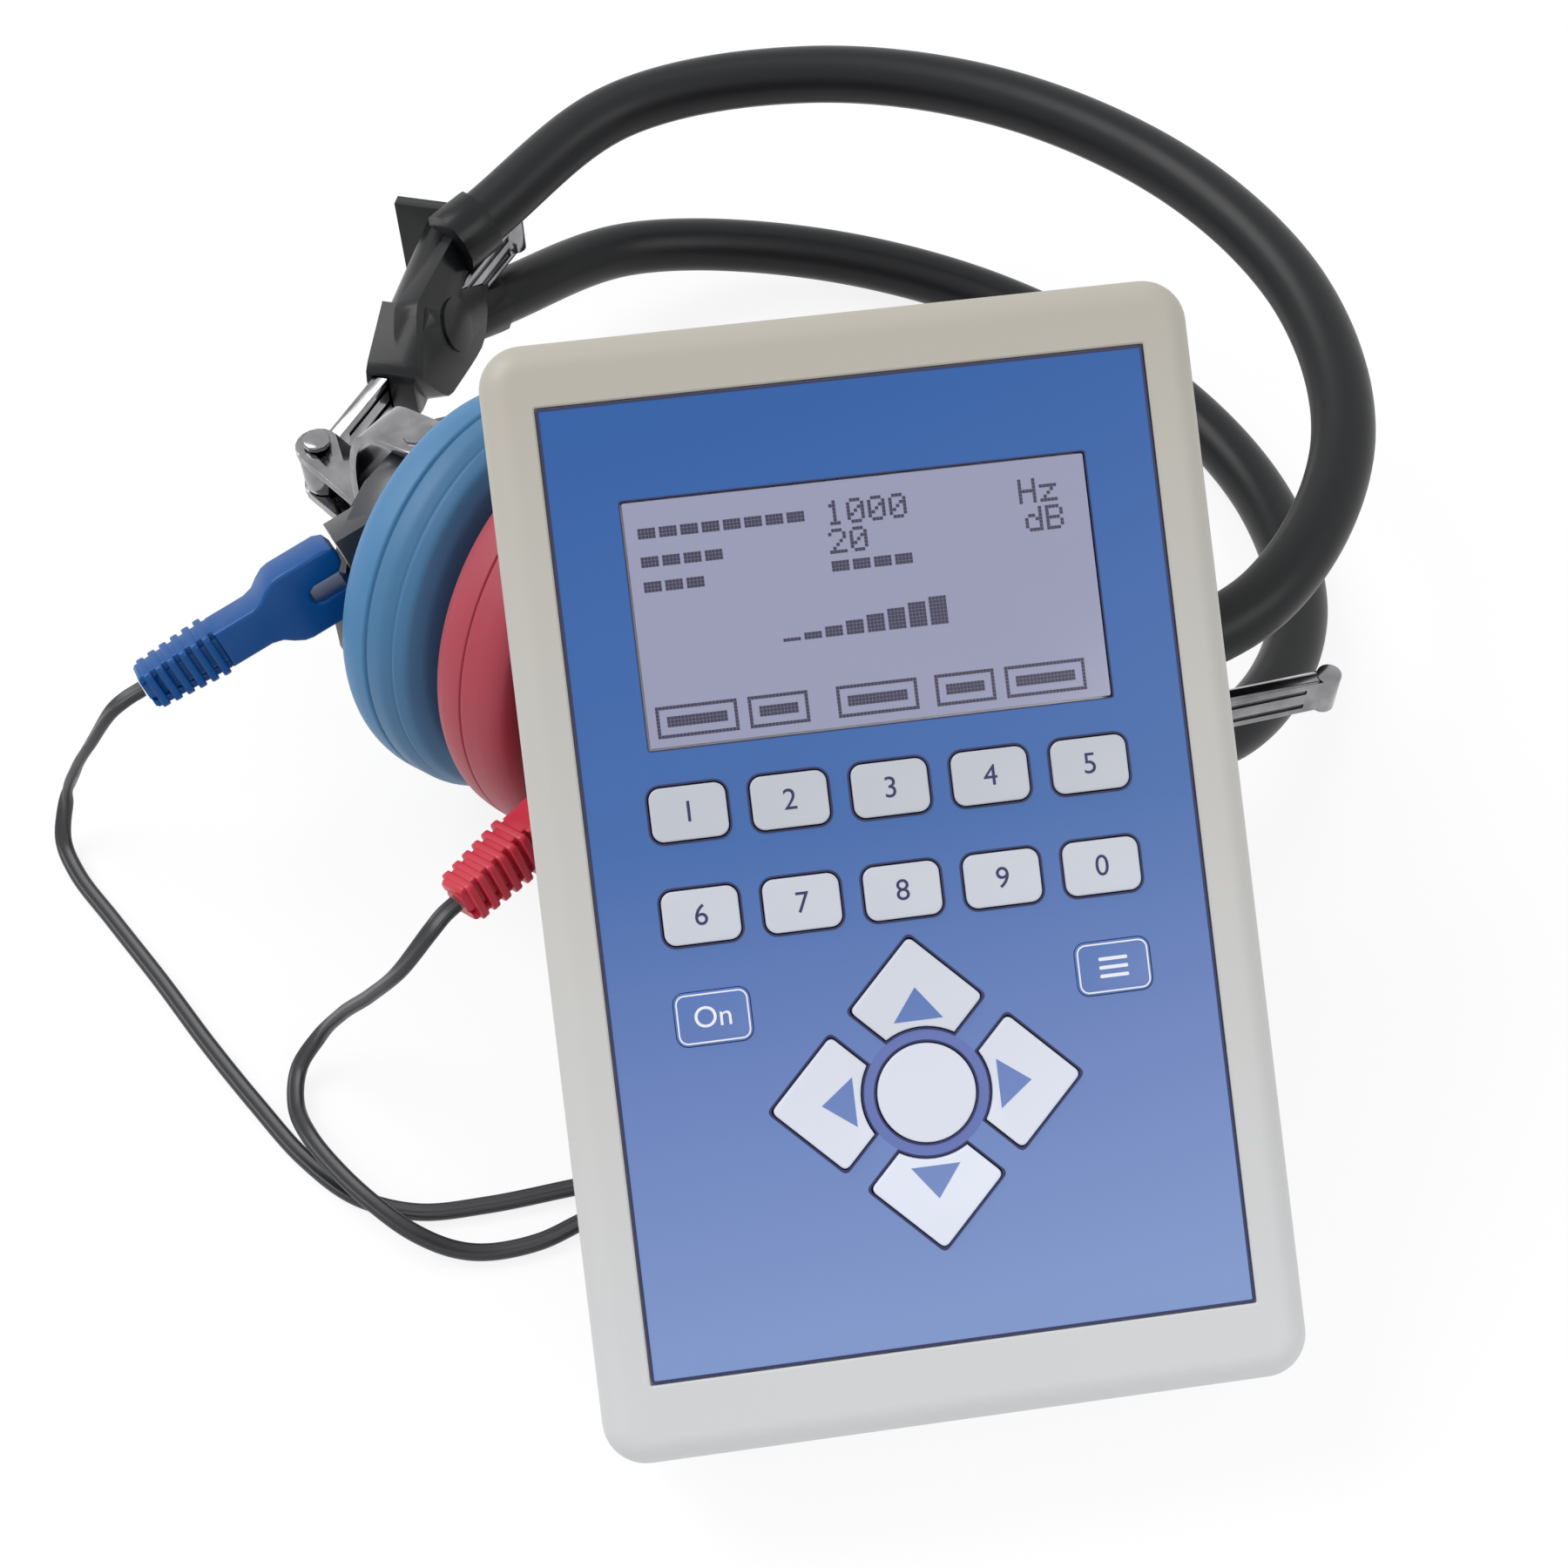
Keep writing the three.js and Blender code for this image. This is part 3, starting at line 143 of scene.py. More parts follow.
class Colours(bpy.types.PropertyGroup):
    """Colours of the plastics, rubbers and prints; the panel's and the keys' stops also paint a reflected
    haze of light
    """
    case_top: colour("Case top", "Shells at the display's end", linear(178, 173, 161))
    case_bottom: colour("Case bottom", "Shells at the keypad's end", linear(212, 213, 214))
    # The four panel stops paint a reflected haze of light: the panel pales towards its lower end, over the
    # print's own blue.
    panel_top: colour("Panel top", "Printed panel, upper end", linear(24, 86, 158))
    panel_upper: colour("Panel upper middle", "Printed panel, above the number keys", linear(56, 100, 166))
    panel_lower: colour("Panel lower middle", "Printed panel, at the arrow keys", linear(98, 124, 184))
    panel_bottom: colour("Panel bottom", "Printed panel, lower end", linear(124, 148, 200))
    ink: colour("Ink", "Lines round the keys", linear(30, 36, 84))
    # The key stops paint the same reflected haze of light: the keys are lighter towards the panel's lower
    # end.
    keys_top: colour("Upper keys", "Number keys", linear(188, 191, 198))
    keys_bottom: colour("Lower keys", "Arrow keys", linear(230, 234, 247))
    display: colour("Display", "Window over the display", linear(149, 150, 178))
    dots: colour("Dots", "Dark dots of the display", linear(52, 48, 74))
    blue_pad: colour("Blue cushion", "Left earphone's cushion", linear(58, 112, 154))
    red_pad: colour("Red cushion", "Right earphone's cushion", linear(168, 52, 70))
    blue_plug: colour("Blue plug", "Left earphone's plug", linear(0, 78, 146))
    red_plug: colour("Red plug", "Right earphone's plug", linear(200, 40, 62))
    black: colour("Black", "Clamps and tubes", linear(25, 26, 28))


def unit_sizes():
    return bpy.context.scene.unit_sizes


def headset_sizes():
    return bpy.context.scene.headset_sizes


def colours():
    return bpy.context.scene.part_colours


# Materials
def set_inputs(made, values):
    for label, value in values.items():
        made.inputs[label].default_value = value
    return made


def node(tree, kind, operation=None, inputs=None):
    """A new node, with its operation and the values of its inputs."""
    made = tree.nodes.new(kind)
    if operation:
        made.operation = operation
    return set_inputs(made, inputs or {})


def wire(tree, *links):
    """Joins nodes; each link is a node, its output, the next node and its input."""
    for source, output, target, entry in links:
        tree.links.new(source.outputs[output], target.inputs[entry])


def group_tree(name, inputs, outputs):
    """An empty shader group, with its inlet and its outlet."""
    tree = bpy.data.node_groups.new(name, "ShaderNodeTree")
    for label, default in inputs:
        socket = tree.interface.new_socket(label, in_out="INPUT", socket_type="NodeSocketFloat")
        socket.default_value = default
    for label in outputs:
        tree.interface.new_socket(label, in_out="OUTPUT", socket_type="NodeSocketFloat")
    return tree, node(tree, "NodeGroupInput"), node(tree, "NodeGroupOutput")


def grain_group():
    """Moulded grain: a fine height, and a broad tone that drifts over the piece."""
    found = bpy.data.node_groups.get("moulded grain")
    if found:
        return found
    tree, inlet, outlet = group_tree(
        "moulded grain", [("Fine Scale", 1500), ("Broad Scale", 40)], ["Height", "Tone"])
    place = node(tree, "ShaderNodeTexCoord")
    for scale, detail, result in (("Fine Scale", 3, "Height"), ("Broad Scale", 2, "Tone")):
        noise = node(tree, "ShaderNodeTexNoise", inputs={"Detail": detail})
        wire(tree, (place, "Object", noise, "Vector"), (inlet, scale, noise, "Scale"),
             (noise, "Fac", outlet, result))
    return tree


def dust_group():
    """Handling marks: sparse soft patches that dull a gloss."""
    found = bpy.data.node_groups.get("handling marks")
    if found:
        return found
    tree, inlet, outlet = group_tree("handling marks", [("Scale", 90), ("Amount", 0.5)], ["Mask"])
    place = node(tree, "ShaderNodeTexCoord")
    cloud = node(tree, "ShaderNodeTexNoise", inputs={"Detail": 5})
    spread = node(tree, "ShaderNodeMapRange", inputs={"From Min": 0.5, "From Max": 0.75})
    scaled = node(tree, "ShaderNodeMath", "MULTIPLY")
    wire(tree, (place, "Object", cloud, "Vector"), (inlet, "Scale", cloud, "Scale"),
         (cloud, "Fac", spread, "Value"), (spread, "Result", scaled, 0), (inlet, "Amount", scaled, 1),
         (scaled, 0, outlet, "Mask"))
    return tree


def place_group(tree, group, values):
    placed = node(tree, "ShaderNodeGroup")
    placed.node_tree = group
    return set_inputs(placed, values)


def mixed(tree, tone, ends, target):
    """Feeds a target's input with a mix of two ends, which are colours or outputs."""
    mix = node(tree, "ShaderNodeMix")
    mix.data_type = "RGBA"
    wire(tree, (*tone, mix, "Factor"))
    for label, value in zip("AB", ends):
        socket = [s for s in mix.inputs if s.name == label and s.type == "RGBA"][0]
        if isinstance(value, bpy.types.NodeSocket):
            tree.links.new(value, socket)
        else:
            socket.default_value = (*value, 1)
    tree.links.new([s for s in mix.outputs if s.type == "RGBA"][0], target)


def graded(tree, stops, ends):
    """A colour that changes between two places in the object's own space, from (share, colour) stops."""
    start, end = ends
    reach = end - start
    place = node(tree, "ShaderNodeTexCoord")
    offset = node(tree, "ShaderNodeVectorMath", "SUBTRACT", {1: start})
    share = node(tree, "ShaderNodeVectorMath", "DOT_PRODUCT", {1: reach / reach.length_squared})
    ramp = node(tree, "ShaderNodeValToRGB")
    elements = ramp.color_ramp.elements
    for i, (position, tone) in enumerate(stops):
        element = elements[i] if i < 2 else elements.new(position)
        element.position = position
        element.color = (*tone, 1)
    wire(tree, (place, "Object", offset, 0), (offset, "Vector", share, 0), (share, "Value", ramp, "Fac"))
    return ramp.outputs["Color"]


def lit(tone, share):
    """A colour made lighter or darker."""
    return tuple(min(1, value * share) for value in tone)


def surface(name, base, rough=0.5, drift=0.06, fine=1500, depth=0.02, broad=40, metal=0, coat=0,
            marks=0.1, sheen=0, specular=0.5, ends=None):
    """A finish with a drifting tone, moulded grain and handling marks; with two ends, the base is stops."""
    found = bpy.data.materials.get(name)
    if found:
        return found
    material = bpy.data.materials.new(name)
    material.use_nodes = True
    tree = material.node_tree
    shader = set_inputs(tree.nodes["Principled BSDF"], {
        "Metallic": metal, "Coat Weight": coat, "Coat Roughness": 0.1, "Sheen Weight": sheen,
        "Specular IOR Level": specular,
    })
    grain = place_group(tree, grain_group(), {"Fine Scale": fine, "Broad Scale": broad})
    dust = place_group(tree, dust_group(), {"Amount": marks})
    tones = [
        graded(tree, [(at, lit(tone, share)) for at, tone in base], ends) if ends else lit(base, share)
        for share in (1 - drift, 1 + drift)
    ]
    mixed(tree, (grain, "Tone"), tones, shader.inputs["Base Color"])
    dulled = node(tree, "ShaderNodeMapRange", inputs={"To Min": rough, "To Max": min(1, rough + DULLING)})
    bump = node(tree, "ShaderNodeBump", inputs={"Strength": BUMP_SHARE, "Distance": depth * MM})
    wire(tree, (dust, "Mask", dulled, "Value"), (dulled, "Result", shader, "Roughness"),
         (grain, "Height", bump, "Height"), (bump, "Normal", shader, "Normal"))
    return material


def unit_ends():
    """The middles of the unit's lower and upper edges, at the panel's face."""
    return UNIT @ Vector((0, 0, PANEL_TOP)), UNIT @ Vector((0, unit_sizes().height, PANEL_TOP))


def panel_finish():
    """Printed blue panel, paler towards its lower end: the paling is mostly a painted reflection, a glossy
    haze of light, over the print's own blue.
    """
    c = colours()
    stops = [(0.1, c.panel_bottom), (0.33, c.panel_lower), (0.54, c.panel_upper), (0.92, c.panel_top)]
    return surface("printed panel", stops, rough=0.36, drift=0.015, fine=2600, depth=0.012, marks=0.06,
                   ends=unit_ends())


def ink_finish():
    return surface("dark ink", colours().ink, rough=0.5, drift=0.1, depth=0.005)


def chrome_finish():
    """Bright plating with faint drawing lines; its strong, broad swings of tone are painted dark and bright
    reflections.
    """
    # drift 0.55 over broad patches paints dark and bright reflections into the base colour
    return surface("bright chrome", linear(140, 140, 142), rough=0.12, drift=0.55, fine=900, depth=0.01,
                   broad=190, metal=1, marks=0.35)


def black_gloss():
    return surface("black gloss plastic", colours().black, rough=0.3, drift=0.12, coat=0.06, specular=0.22)


def black_satin():
    return surface("black satin sleeve", colours().black, rough=0.36, drift=0.1, fine=2200, depth=0.03,
                   marks=0.25, specular=0.25)


def cord_finish():
    return surface("cord jacket", linear(38, 39, 43), rough=0.38, drift=0.08, fine=1800)


def case_finish():
    stops = [(0, colours().case_bottom), (1, colours().case_top)]
    return surface("case plastic", stops, rough=0.48, drift=0.02, fine=2400, broad=18, marks=0.12,
                   ends=unit_ends())


# Mesh making
def smoothed(mesh, angle=35):
    """Smooth shading, with edges over the angle kept sharp."""
    mesh.shade_smooth()
    mesh.set_sharp_from_angle(angle=math.radians(angle))
    return mesh


def smooth_mesh(mesh, angle=35, recalculate=True, merge=1e-6):
    work = bmesh.new()
    work.from_mesh(mesh)
    bmesh.ops.remove_doubles(work, verts=work.verts, dist=merge)
    if recalculate:
        bmesh.ops.recalc_face_normals(work, faces=work.faces)
    work.to_mesh(mesh)
    work.free()
    return smoothed(mesh, angle)


def mesh_of(name, points, faces=()):
    mesh = bpy.data.meshes.new(name)
    mesh.from_pydata([tuple(p) for p in points], [], faces)
    return mesh


def piece(name, data, *materials):
    """An object in the scene, with its materials."""
    made = bpy.data.objects.new(name, data)
    bpy.context.scene.collection.objects.link(made)
    if materials:
        data.materials.clear()
        for material in materials:
            data.materials.append(material)
    return made


def evaluated_mesh(made):
    graph = bpy.context.evaluated_depsgraph_get()
    graph.update()
    return bpy.data.meshes.new_from_object(made.evaluated_get(graph))


def used_up(made, *helpers):
    """The evaluated mesh of an object that goes away with its helpers."""
    mesh = evaluated_mesh(made)
    for helper in (*helpers, made):
        bpy.data.objects.remove(helper)
    return mesh


def from_rings(name, rings, matrix=HOME, close=True, angle=35):
    """A mesh lofted through rings of equal point counts; a ring of one point is a pole."""
    verts = []
    faces = []
    starts = []
    for ring in rings:
        starts.append(len(verts))
        verts.extend(ring)
    for a, b, sa, sb in zip(rings, rings[1:], starts, starts[1:]):
        count = max(len(a), len(b))
        for j in range(count):
            k = (j + 1) % count
            if len(a) == 1:
                faces.append((sa, sb + k, sb + j))
            elif len(b) == 1:
                faces.append((sa + j, sa + k, sb))
            else:
                faces.append((sa + j, sa + k, sb + k, sb + j))
    if close:
        if len(rings[0]) > 1:
            faces.append(tuple(reversed(range(len(rings[0])))))
        if len(rings[-1]) > 1:
            faces.append(tuple(range(starts[-1], len(verts))))
    mesh = mesh_of(name, verts, faces)
    mesh.transform(matrix)
    return smooth_mesh(mesh, angle)


def turned(name, profile, matrix, sides, angle=35):
    """A mesh turned about X from a profile of (place along X, radius)."""
    rings = []
    for along, radius in profile:
        ring = circle(radius, sides=sides) if radius > 0 else [(0, 0)]
        rings.append([Vector((along, x, y)) for x, y in ring])
    return from_rings(name, rings, matrix, angle=angle)


def bent(before, corner, after, reach, steps):
    """Points of a curve that rounds a corner, from that far before it to that far after it."""
    b, c, a = Vector(before), Vector(corner), Vector(after)
    start = c + (b - c).normalized() * reach
    end = c + (a - c).normalized() * reach
    shares = [i / steps for i in range(steps + 1)]
    return [tuple(start * (1 - t) ** 2 + c * 2 * t * (1 - t) + end * t * t) for t in shares]


def softened(profile, radius, steps):
    """The profile with each inner corner rounded by up to that radius."""
    out = [profile[0]]
    for before, corner, after in zip(profile, profile[1:], profile[2:]):
        least = min(math.dist(before, corner), math.dist(after, corner))
        out += bent(before, corner, after, min(radius, least * BEND_SHARE), steps)
    out.append(profile[-1])
    return out


def rounded(width, height, radius, steps, centre=(0, 0)):
    """Points of a rounded rectangle, anticlockwise."""
    out = []
    for sx, sy, start in ((1, -1, -90), (1, 1, 0), (-1, 1, 90), (-1, -1, 180)):
        cx = centre[0] + sx * (width / 2 - radius)
        cy = centre[1] + sy * (height / 2 - radius)
        for i in range(steps + 1):
            angle = math.radians(start + 90 * i / steps)
            out.append((cx + radius * math.cos(angle), cy + radius * math.sin(angle)))
    return out


def circle(radius, centre=(0, 0), sides=96):
    angles = [2 * math.pi * i / sides for i in range(sides)]
    return [(centre[0] + radius * math.cos(a), centre[1] + radius * math.sin(a)) for a in angles]


def moved(outline, place):
    return [(x + place[0], y + place[1]) for x, y in outline]


def spun(outline, turn):
    co, si = math.cos(turn), math.sin(turn)
    return [(x * co - y * si, x * si + y * co) for x, y in outline]


def level_ring(outline, rise):
    return [Vector((x, y, rise)) for x, y in outline]


def plate_mesh(name, outlines, low, high, edge=0, matrix=HOME):
    """A flat plate between two levels; the first outline is its edge and the others are holes."""
    curve = bpy.data.curves.new(name, "CURVE")
    curve.dimensions = "2D"
    curve.fill_mode = "BOTH"
    curve.extrude = max((high - low) / 2 - edge, 0)
    curve.bevel_depth = edge
    curve.bevel_resolution = 2
    curve.offset = -edge
    for i, outline in enumerate(outlines):
        points = outline if i == 0 else list(reversed(outline))
        spline = curve.splines.new("POLY")
        spline.points.add(len(points) - 1)
        for point, (x, y) in zip(spline.points, points):
            point.co = (x, y, 0, 1)
        spline.use_cyclic_u = True
    mesh = used_up(piece(name, curve))
    mesh.transform(matrix @ Matrix.Translation((0, 0, (low + high) / 2)))
    return smooth_mesh(mesh)


def text_mesh(name, words, size, matrix):
    """Flat type, as thick as a print."""
    curve = bpy.data.curves.new(name, "FONT")
    curve.body = words
    curve.size = size
    curve.extrude = SKIN / 2
    curve.align_x = "CENTER"
    curve.align_y = "CENTER"
    mesh = used_up(piece(name, curve))
    mesh.transform(matrix)
    return smooth_mesh(mesh, 30)


def merged(name, parts):
    """One piece from several (mesh, material) pairs."""
    work = bmesh.new()
    materials = list(dict.fromkeys(material for mesh, material in parts))
    for mesh, material in parts:
        before = len(work.faces)
        work.from_mesh(mesh)
        work.faces.ensure_lookup_table()
        for face in work.faces[before:]:
            face.material_index = materials.index(material)
    mesh = bpy.data.meshes.new(name)
    for material in materials:
        mesh.materials.append(material)
    work.to_mesh(mesh)
    work.free()
    return piece(name, smoothed(mesh))


def carved(name, base, tools, operation="DIFFERENCE", angle=35):
    """The base mesh with the tool meshes cut from it or joined to it."""
    made = piece(name, base)
    helpers = [piece(name + "_tool", tool) for tool in tools]
    for helper in helpers:
        modifier = made.modifiers.new("cut", "BOOLEAN")
        modifier.operation = operation
        modifier.solver = "EXACT"
        modifier.object = helper
    return smooth_mesh(used_up(made, *helpers), angle, merge=2e-6)


def dressed(name, source, finish, body, edge, angle=32, segments=2):
    """A CAD node's solid with merged facets, softened edges and a finish, settled on its body."""
    mesh = smooth_mesh(NODES[source].data.copy(), angle, recalculate=False, merge=2e-6)
    made = piece(name, mesh)
    modifier = made.modifiers.new("soft edges", "BEVEL")
    modifier.width = edge
    modifier.segments = segments
    modifier.limit_method = "ANGLE"
    modifier.angle_limit = math.radians(angle)
    modifier.miter_outer = "MITER_ARC"
    mesh = evaluated_mesh(made)
    made.modifiers.clear()
    made.data = smoothed(mesh, angle)
    mesh.materials.clear()
    mesh.materials.append(finish)
    return settle(made, body, [source])


def settle(made, body, nodes):
    """Puts a finished piece on its body and hides the nodes that it stands for."""
    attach(made, body)
    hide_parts(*nodes)
    return made


# Paths
def catmull(points, count):
    """Evenly spaced points on a centripetal curve through given points."""
    points = [Vector(p) for p in points]
    dense = []
    for i in range(len(points) - 1):
        p1, p2 = points[i], points[i + 1]
        p0 = points[i - 1] if i else p1 * 2 - p2
        p3 = points[i + 2] if i + 2 < len(points) else p2 * 2 - p1
        d0, d1, d2 = (max((b - a).length, 1e-9) ** 0.5 for a, b in ((p0, p1), (p1, p2), (p2, p3)))
        t1 = ((p1 - p0) / d0 - (p2 - p0) / (d0 + d1) + (p2 - p1) / d1) * d1
        t2 = ((p2 - p1) / d1 - (p3 - p1) / (d1 + d2) + (p3 - p2) / d2) * d1
        for j in range(CURVE_STEPS):
            t = j / CURVE_STEPS
            dense.append(
                p1 + t1 * t + (p2 * 3 - p1 * 3 - t1 * 2 - t2) * t * t + (p1 * 2 - p2 * 2 + t1 + t2) * t ** 3)
    dense.append(points[-1])
    return evenly(dense, count)


def evenly(dense, count):
    """The same path in steps of equal length."""
    reach = [0]
    for a, b in zip(dense, dense[1:]):
        reach.append(reach[-1] + (b - a).length)
    out = []
    j = 0
    for i in range(count + 1):
        target = reach[-1] * i / count
        while j < len(dense) - 2 and reach[j + 1] < target:
            j += 1
        span = reach[j + 1] - reach[j]
        t = 0 if span <= 0 else min(max((target - reach[j]) / span, 0), 1)
        out.append(dense[j].lerp(dense[j + 1], t))
    return out


def swept(name, path, section, angle=35):
    """A closed section carried along a path, its first axis kept level."""
    rings = []
    side = None
    for i, point in enumerate(path):
        tangent = (path[min(i + 1, len(path) - 1)] - path[max(i - 1, 0)]).normalized()
        flat = Vector((0, 0, 1)).cross(tangent)
        side = flat.normalized() if flat.length > STEEP else side
        up = tangent.cross(side)
        rings.append([point + side * x + up * y for x, y in section])
    return from_rings(name, rings, LAYOUT, angle=angle)


BAND_SHARES = (
    (-1, 0), (-1.03, 0.459), (-0.788, 0.846), (-0.393, 1.114), (0.094, 1.217),
    (0.551, 1.127), (0.893, 0.867), (1.042, 0.481), (0.943, 0.107),
)
BAND_HALF = 90.9 * MM
BAND_CENTRE = Vector((-9.2, 170.3, 0)) * MM
BAND_TURN = math.radians(-57.5)
BAND_MIDS = (39.1 * MM, 35 * MM, 41.1 * MM)
BAND_END_SPREAD = 11.2 * MM
BAND_SPREAD_POWER = 2.2


def band_path(side):
    """One tube's middle line; the two tubes spread apart towards the top of the band."""
    last = len(BAND_SHARES) - 1
    points = []
    places = spun([(sx * BAND_HALF, sy * BAND_HALF) for sx, sy in BAND_SHARES], BAND_TURN)
    widest = BAND_MIDS[1] - headset_sizes().tube_radius
    for i, (px, py) in enumerate(places):
        x = 2 * i / last - 1
        end_mid = BAND_MIDS[0] if x < 0 else BAND_MIDS[2]
        middle = BAND_MIDS[1] + (end_mid - BAND_MIDS[1]) * x * x
        spread = widest + (BAND_END_SPREAD - widest) * abs(x) ** BAND_SPREAD_POWER
        points.append((BAND_CENTRE.x + px, BAND_CENTRE.y + py, middle + side * spread))
    return catmull(points, 150)


# Stage: camera, light and floor
LENS = 53.24
CAMERA_TURN = math.radians(-6.958)
CAMERA_RISE = math.radians(54)
CAMERA_ROLL = math.radians(-1.19)
CAMERA_TARGET = Vector((-8.70, 126.98, 0)) * MM
CAMERA_REACH = 470 * MM
LAMP_TARGET = Vector((0, 0, 0.05))
SKY_STRENGTH = 0.62
FLOOR_HALF = 3
FLOOR_DROP = 0.05 * MM
FLOOR_GLOW = 1.06
GLOW_SHARE = 0.8


def make_camera():
    data = bpy.data.cameras.new("camera")
    data.lens = LENS
    data.sensor_width = 36
    data.clip_start = 0.01
    data.clip_end = 20
    holder = piece("camera", data)
    back = Vector((
        math.sin(CAMERA_TURN) * math.cos(CAMERA_RISE),
        -math.cos(CAMERA_TURN) * math.cos(CAMERA_RISE),
        math.sin(CAMERA_RISE),
    ))
    level = Vector((math.cos(CAMERA_TURN), math.sin(CAMERA_TURN), 0))
    upright = back.cross(level)
    right = level * math.cos(CAMERA_ROLL) + upright * math.sin(CAMERA_ROLL)
    up = upright * math.cos(CAMERA_ROLL) - level * math.sin(CAMERA_ROLL)
    basis = Matrix((right, up, back)).transposed().to_4x4()
    holder.matrix_world = Matrix.Translation(CAMERA_TARGET + SHIFT + back * CAMERA_REACH) @ basis
    bpy.context.scene.camera = holder


def seen_directly(tree):
    """A node and its output: one where a camera, glossy or transmission ray arrives."""
    paths = node(tree, "ShaderNodeLightPath")
    total = (paths, "Is Camera Ray")
    for label in ("Is Glossy Ray", "Is Transmission Ray"):
        joined = node(tree, "ShaderNodeMath", "ADD")
        joined.use_clamp = True
        wire(tree, (*total, joined, 0), (paths, label, joined, 1))
        total = (joined, 0)
    return total


def make_world():
    world = bpy.data.worlds.new("studio")
    bpy.context.scene.world = world
    world.use_nodes = True
    tree = world.node_tree
    tree.nodes.clear()
    light = node(tree, "ShaderNodeBackground", inputs={"Color": (0.97, 0.98, 1, 1), "Strength": SKY_STRENGTH})
    seen = node(tree, "ShaderNodeBackground", inputs={"Color": (1, 1, 1, 1)})
    mix = node(tree, "ShaderNodeMixShader")
    out = node(tree, "ShaderNodeOutputWorld")
    wire(tree, (*seen_directly(tree), mix, "Fac"), (light, "Background", mix, 1),
         (seen, "Background", mix, 2), (mix, "Shader", out, "Surface"))


def make_floor():
    corners = [(x * FLOOR_HALF, y * FLOOR_HALF, -FLOOR_DROP) for x, y in ((-1, -1), (1, -1), (1, 1), (-1, 1))]
    material = bpy.data.materials.new("pale floor")
    material.use_nodes = True
    tree = material.node_tree
    tree.nodes.clear()
    matt = node(tree, "ShaderNodeBsdfDiffuse", inputs={"Color": (0.82, 0.82, 0.82, 1)})
    bright = node(tree, "ShaderNodeEmission", inputs={"Strength": FLOOR_GLOW})
    share = node(tree, "ShaderNodeMath", "MULTIPLY", {1: GLOW_SHARE})
    mix = node(tree, "ShaderNodeMixShader")
    out = node(tree, "ShaderNodeOutputMaterial")
    wire(tree, (*seen_directly(tree), share, 0), (share, 0, mix, "Fac"), (matt, "BSDF", mix, 1),
         (bright, "Emission", mix, 2), (mix, "Shader", out, "Surface"))
    piece("floor", mesh_of("floor", corners, [(0, 1, 2, 3)]), material)


def make_lamp(name, place, width, height, power):
    data = bpy.data.lights.new(name, "AREA")
    data.shape = "RECTANGLE"
    data.size = width
    data.size_y = height
    data.energy = power
    lamp = piece(name, data)
    lamp.location = place
    lamp.rotation_mode = "QUATERNION"
    lamp.rotation_quaternion = (LAMP_TARGET - Vector(place)).to_track_quat("-Z", "Y")


class MakeStage(bpy.types.Operator):
    """Makes the camera, the soft lamps, the world and the floor"""
    bl_idname = "audiometer.make_stage"
    bl_label = "Stage"

    def execute(self, context):
        make_camera()
        make_world()
        make_floor()
        make_lamp("window_lamp", (-0.9, 0.5, 1.3), 1.0, 1.0, 14)
        make_lamp("fill_lamp", (0.9, -0.9, 1.2), 1.2, 0.8, 6)
        context.scene.view_settings.view_transform = "Standard"
        return {"FINISHED"}


# Cords
LEFT_AIM = Vector((-0.9, -0.389, -0.19)).normalized()
RIGHT_AIM = Vector((-0.76, -0.65, -0.05)).normalized()
LEFT_CORD = (
    (-126.9, 133.6, 45), (-133, 131.4, 42.5), (-139.2, 132.2, 33), (-145.1, 134.9, 22),
    (-150, 136.6, 10.5), (-152.2, 131.8, 3.6), (-149.6, 124.4, 2), (-142.3, 112.4, 1.9),
    (-132.8, 97.1, 1.9), (-123.6, 81.5, 1.9), (-114.8, 67.7, 1.9), (-106.2, 55.3, 1.9),
    (-97.1, 46.3, 1.9), (-86.4, 41.8, 1.9), (-74, 41.4, 1.9), (-59.2, 42.4, 2.2), (-48.3, 43, 2.8),
)
RIGHT_CORD = (
    (-71.6, 74.6, 49.6), (-76.5, 70.4, 48.2), (-82.8, 68.4, 40.4), (-89.6, 71.2, 29),
    (-96.2, 75, 18), (-102, 76.6, 8.4), (-106.6, 73.4, 3.6), (-107.4, 66, 3.2),
    (-104.6, 57.6, 5.6), (-99.4, 49.4, 6.2), (-93.4, 42.2, 6.2), (-87, 36.4, 5.2),
    (-80.5, 33.4, 2.8), (-74.5, 32.3, 1.9), (-65.3, 33, 1.9), (-56.5, 36, 2.2), (-48.3, 38, 2.8),
)
LEAD = (
    (-29.7, 40.5, 2.8), (-24, 40.9, 2.3), (-16, 43.8, 2), (-8, 47.4, 2), (-2, 49.2, 2), (3.8, 49.57, 2),
)
TAIL = (
    (-16.43, 69.9, 14.15), (-16.4, 65.6, 14.4), (-15.6, 60.4, 16), (-10.6, 57, 19.6),
    (-3.6, 55.4, 24), (3.4, 55.2, 27), (9.8, 55.4, 29), (16.6, 55.4, 29.6),
)
TAIL_END = Vector((16.4, 62, -6.3)) * MM
COIL_CENTRE = Vector((8, 74, 0)) * MM
COIL_RADIUS = 20 * MM
COIL_TURNS = 8.75
COIL_LAYERS = 4
COIL_PITCH = 4.05 * MM
COIL_FLOOR = 2 * MM
COIL_START = math.radians(-90)
COIL_STEPS = 420
LOBE_APART = 1.02
LOBE_SHARE = 0.98
LEGS = (("left", LEFT_CORD, LEFT_AIM), ("right", RIGHT_CORD, RIGHT_AIM))


def off_plug(points, way):
    """A leg's points, leaving its plug straight."""
    first = Vector(points[0])
    starts = [first + way * far for far in (0.2, 3.2)]
    return [p * MM for p in (*starts, *map(Vector, points[1:]))]


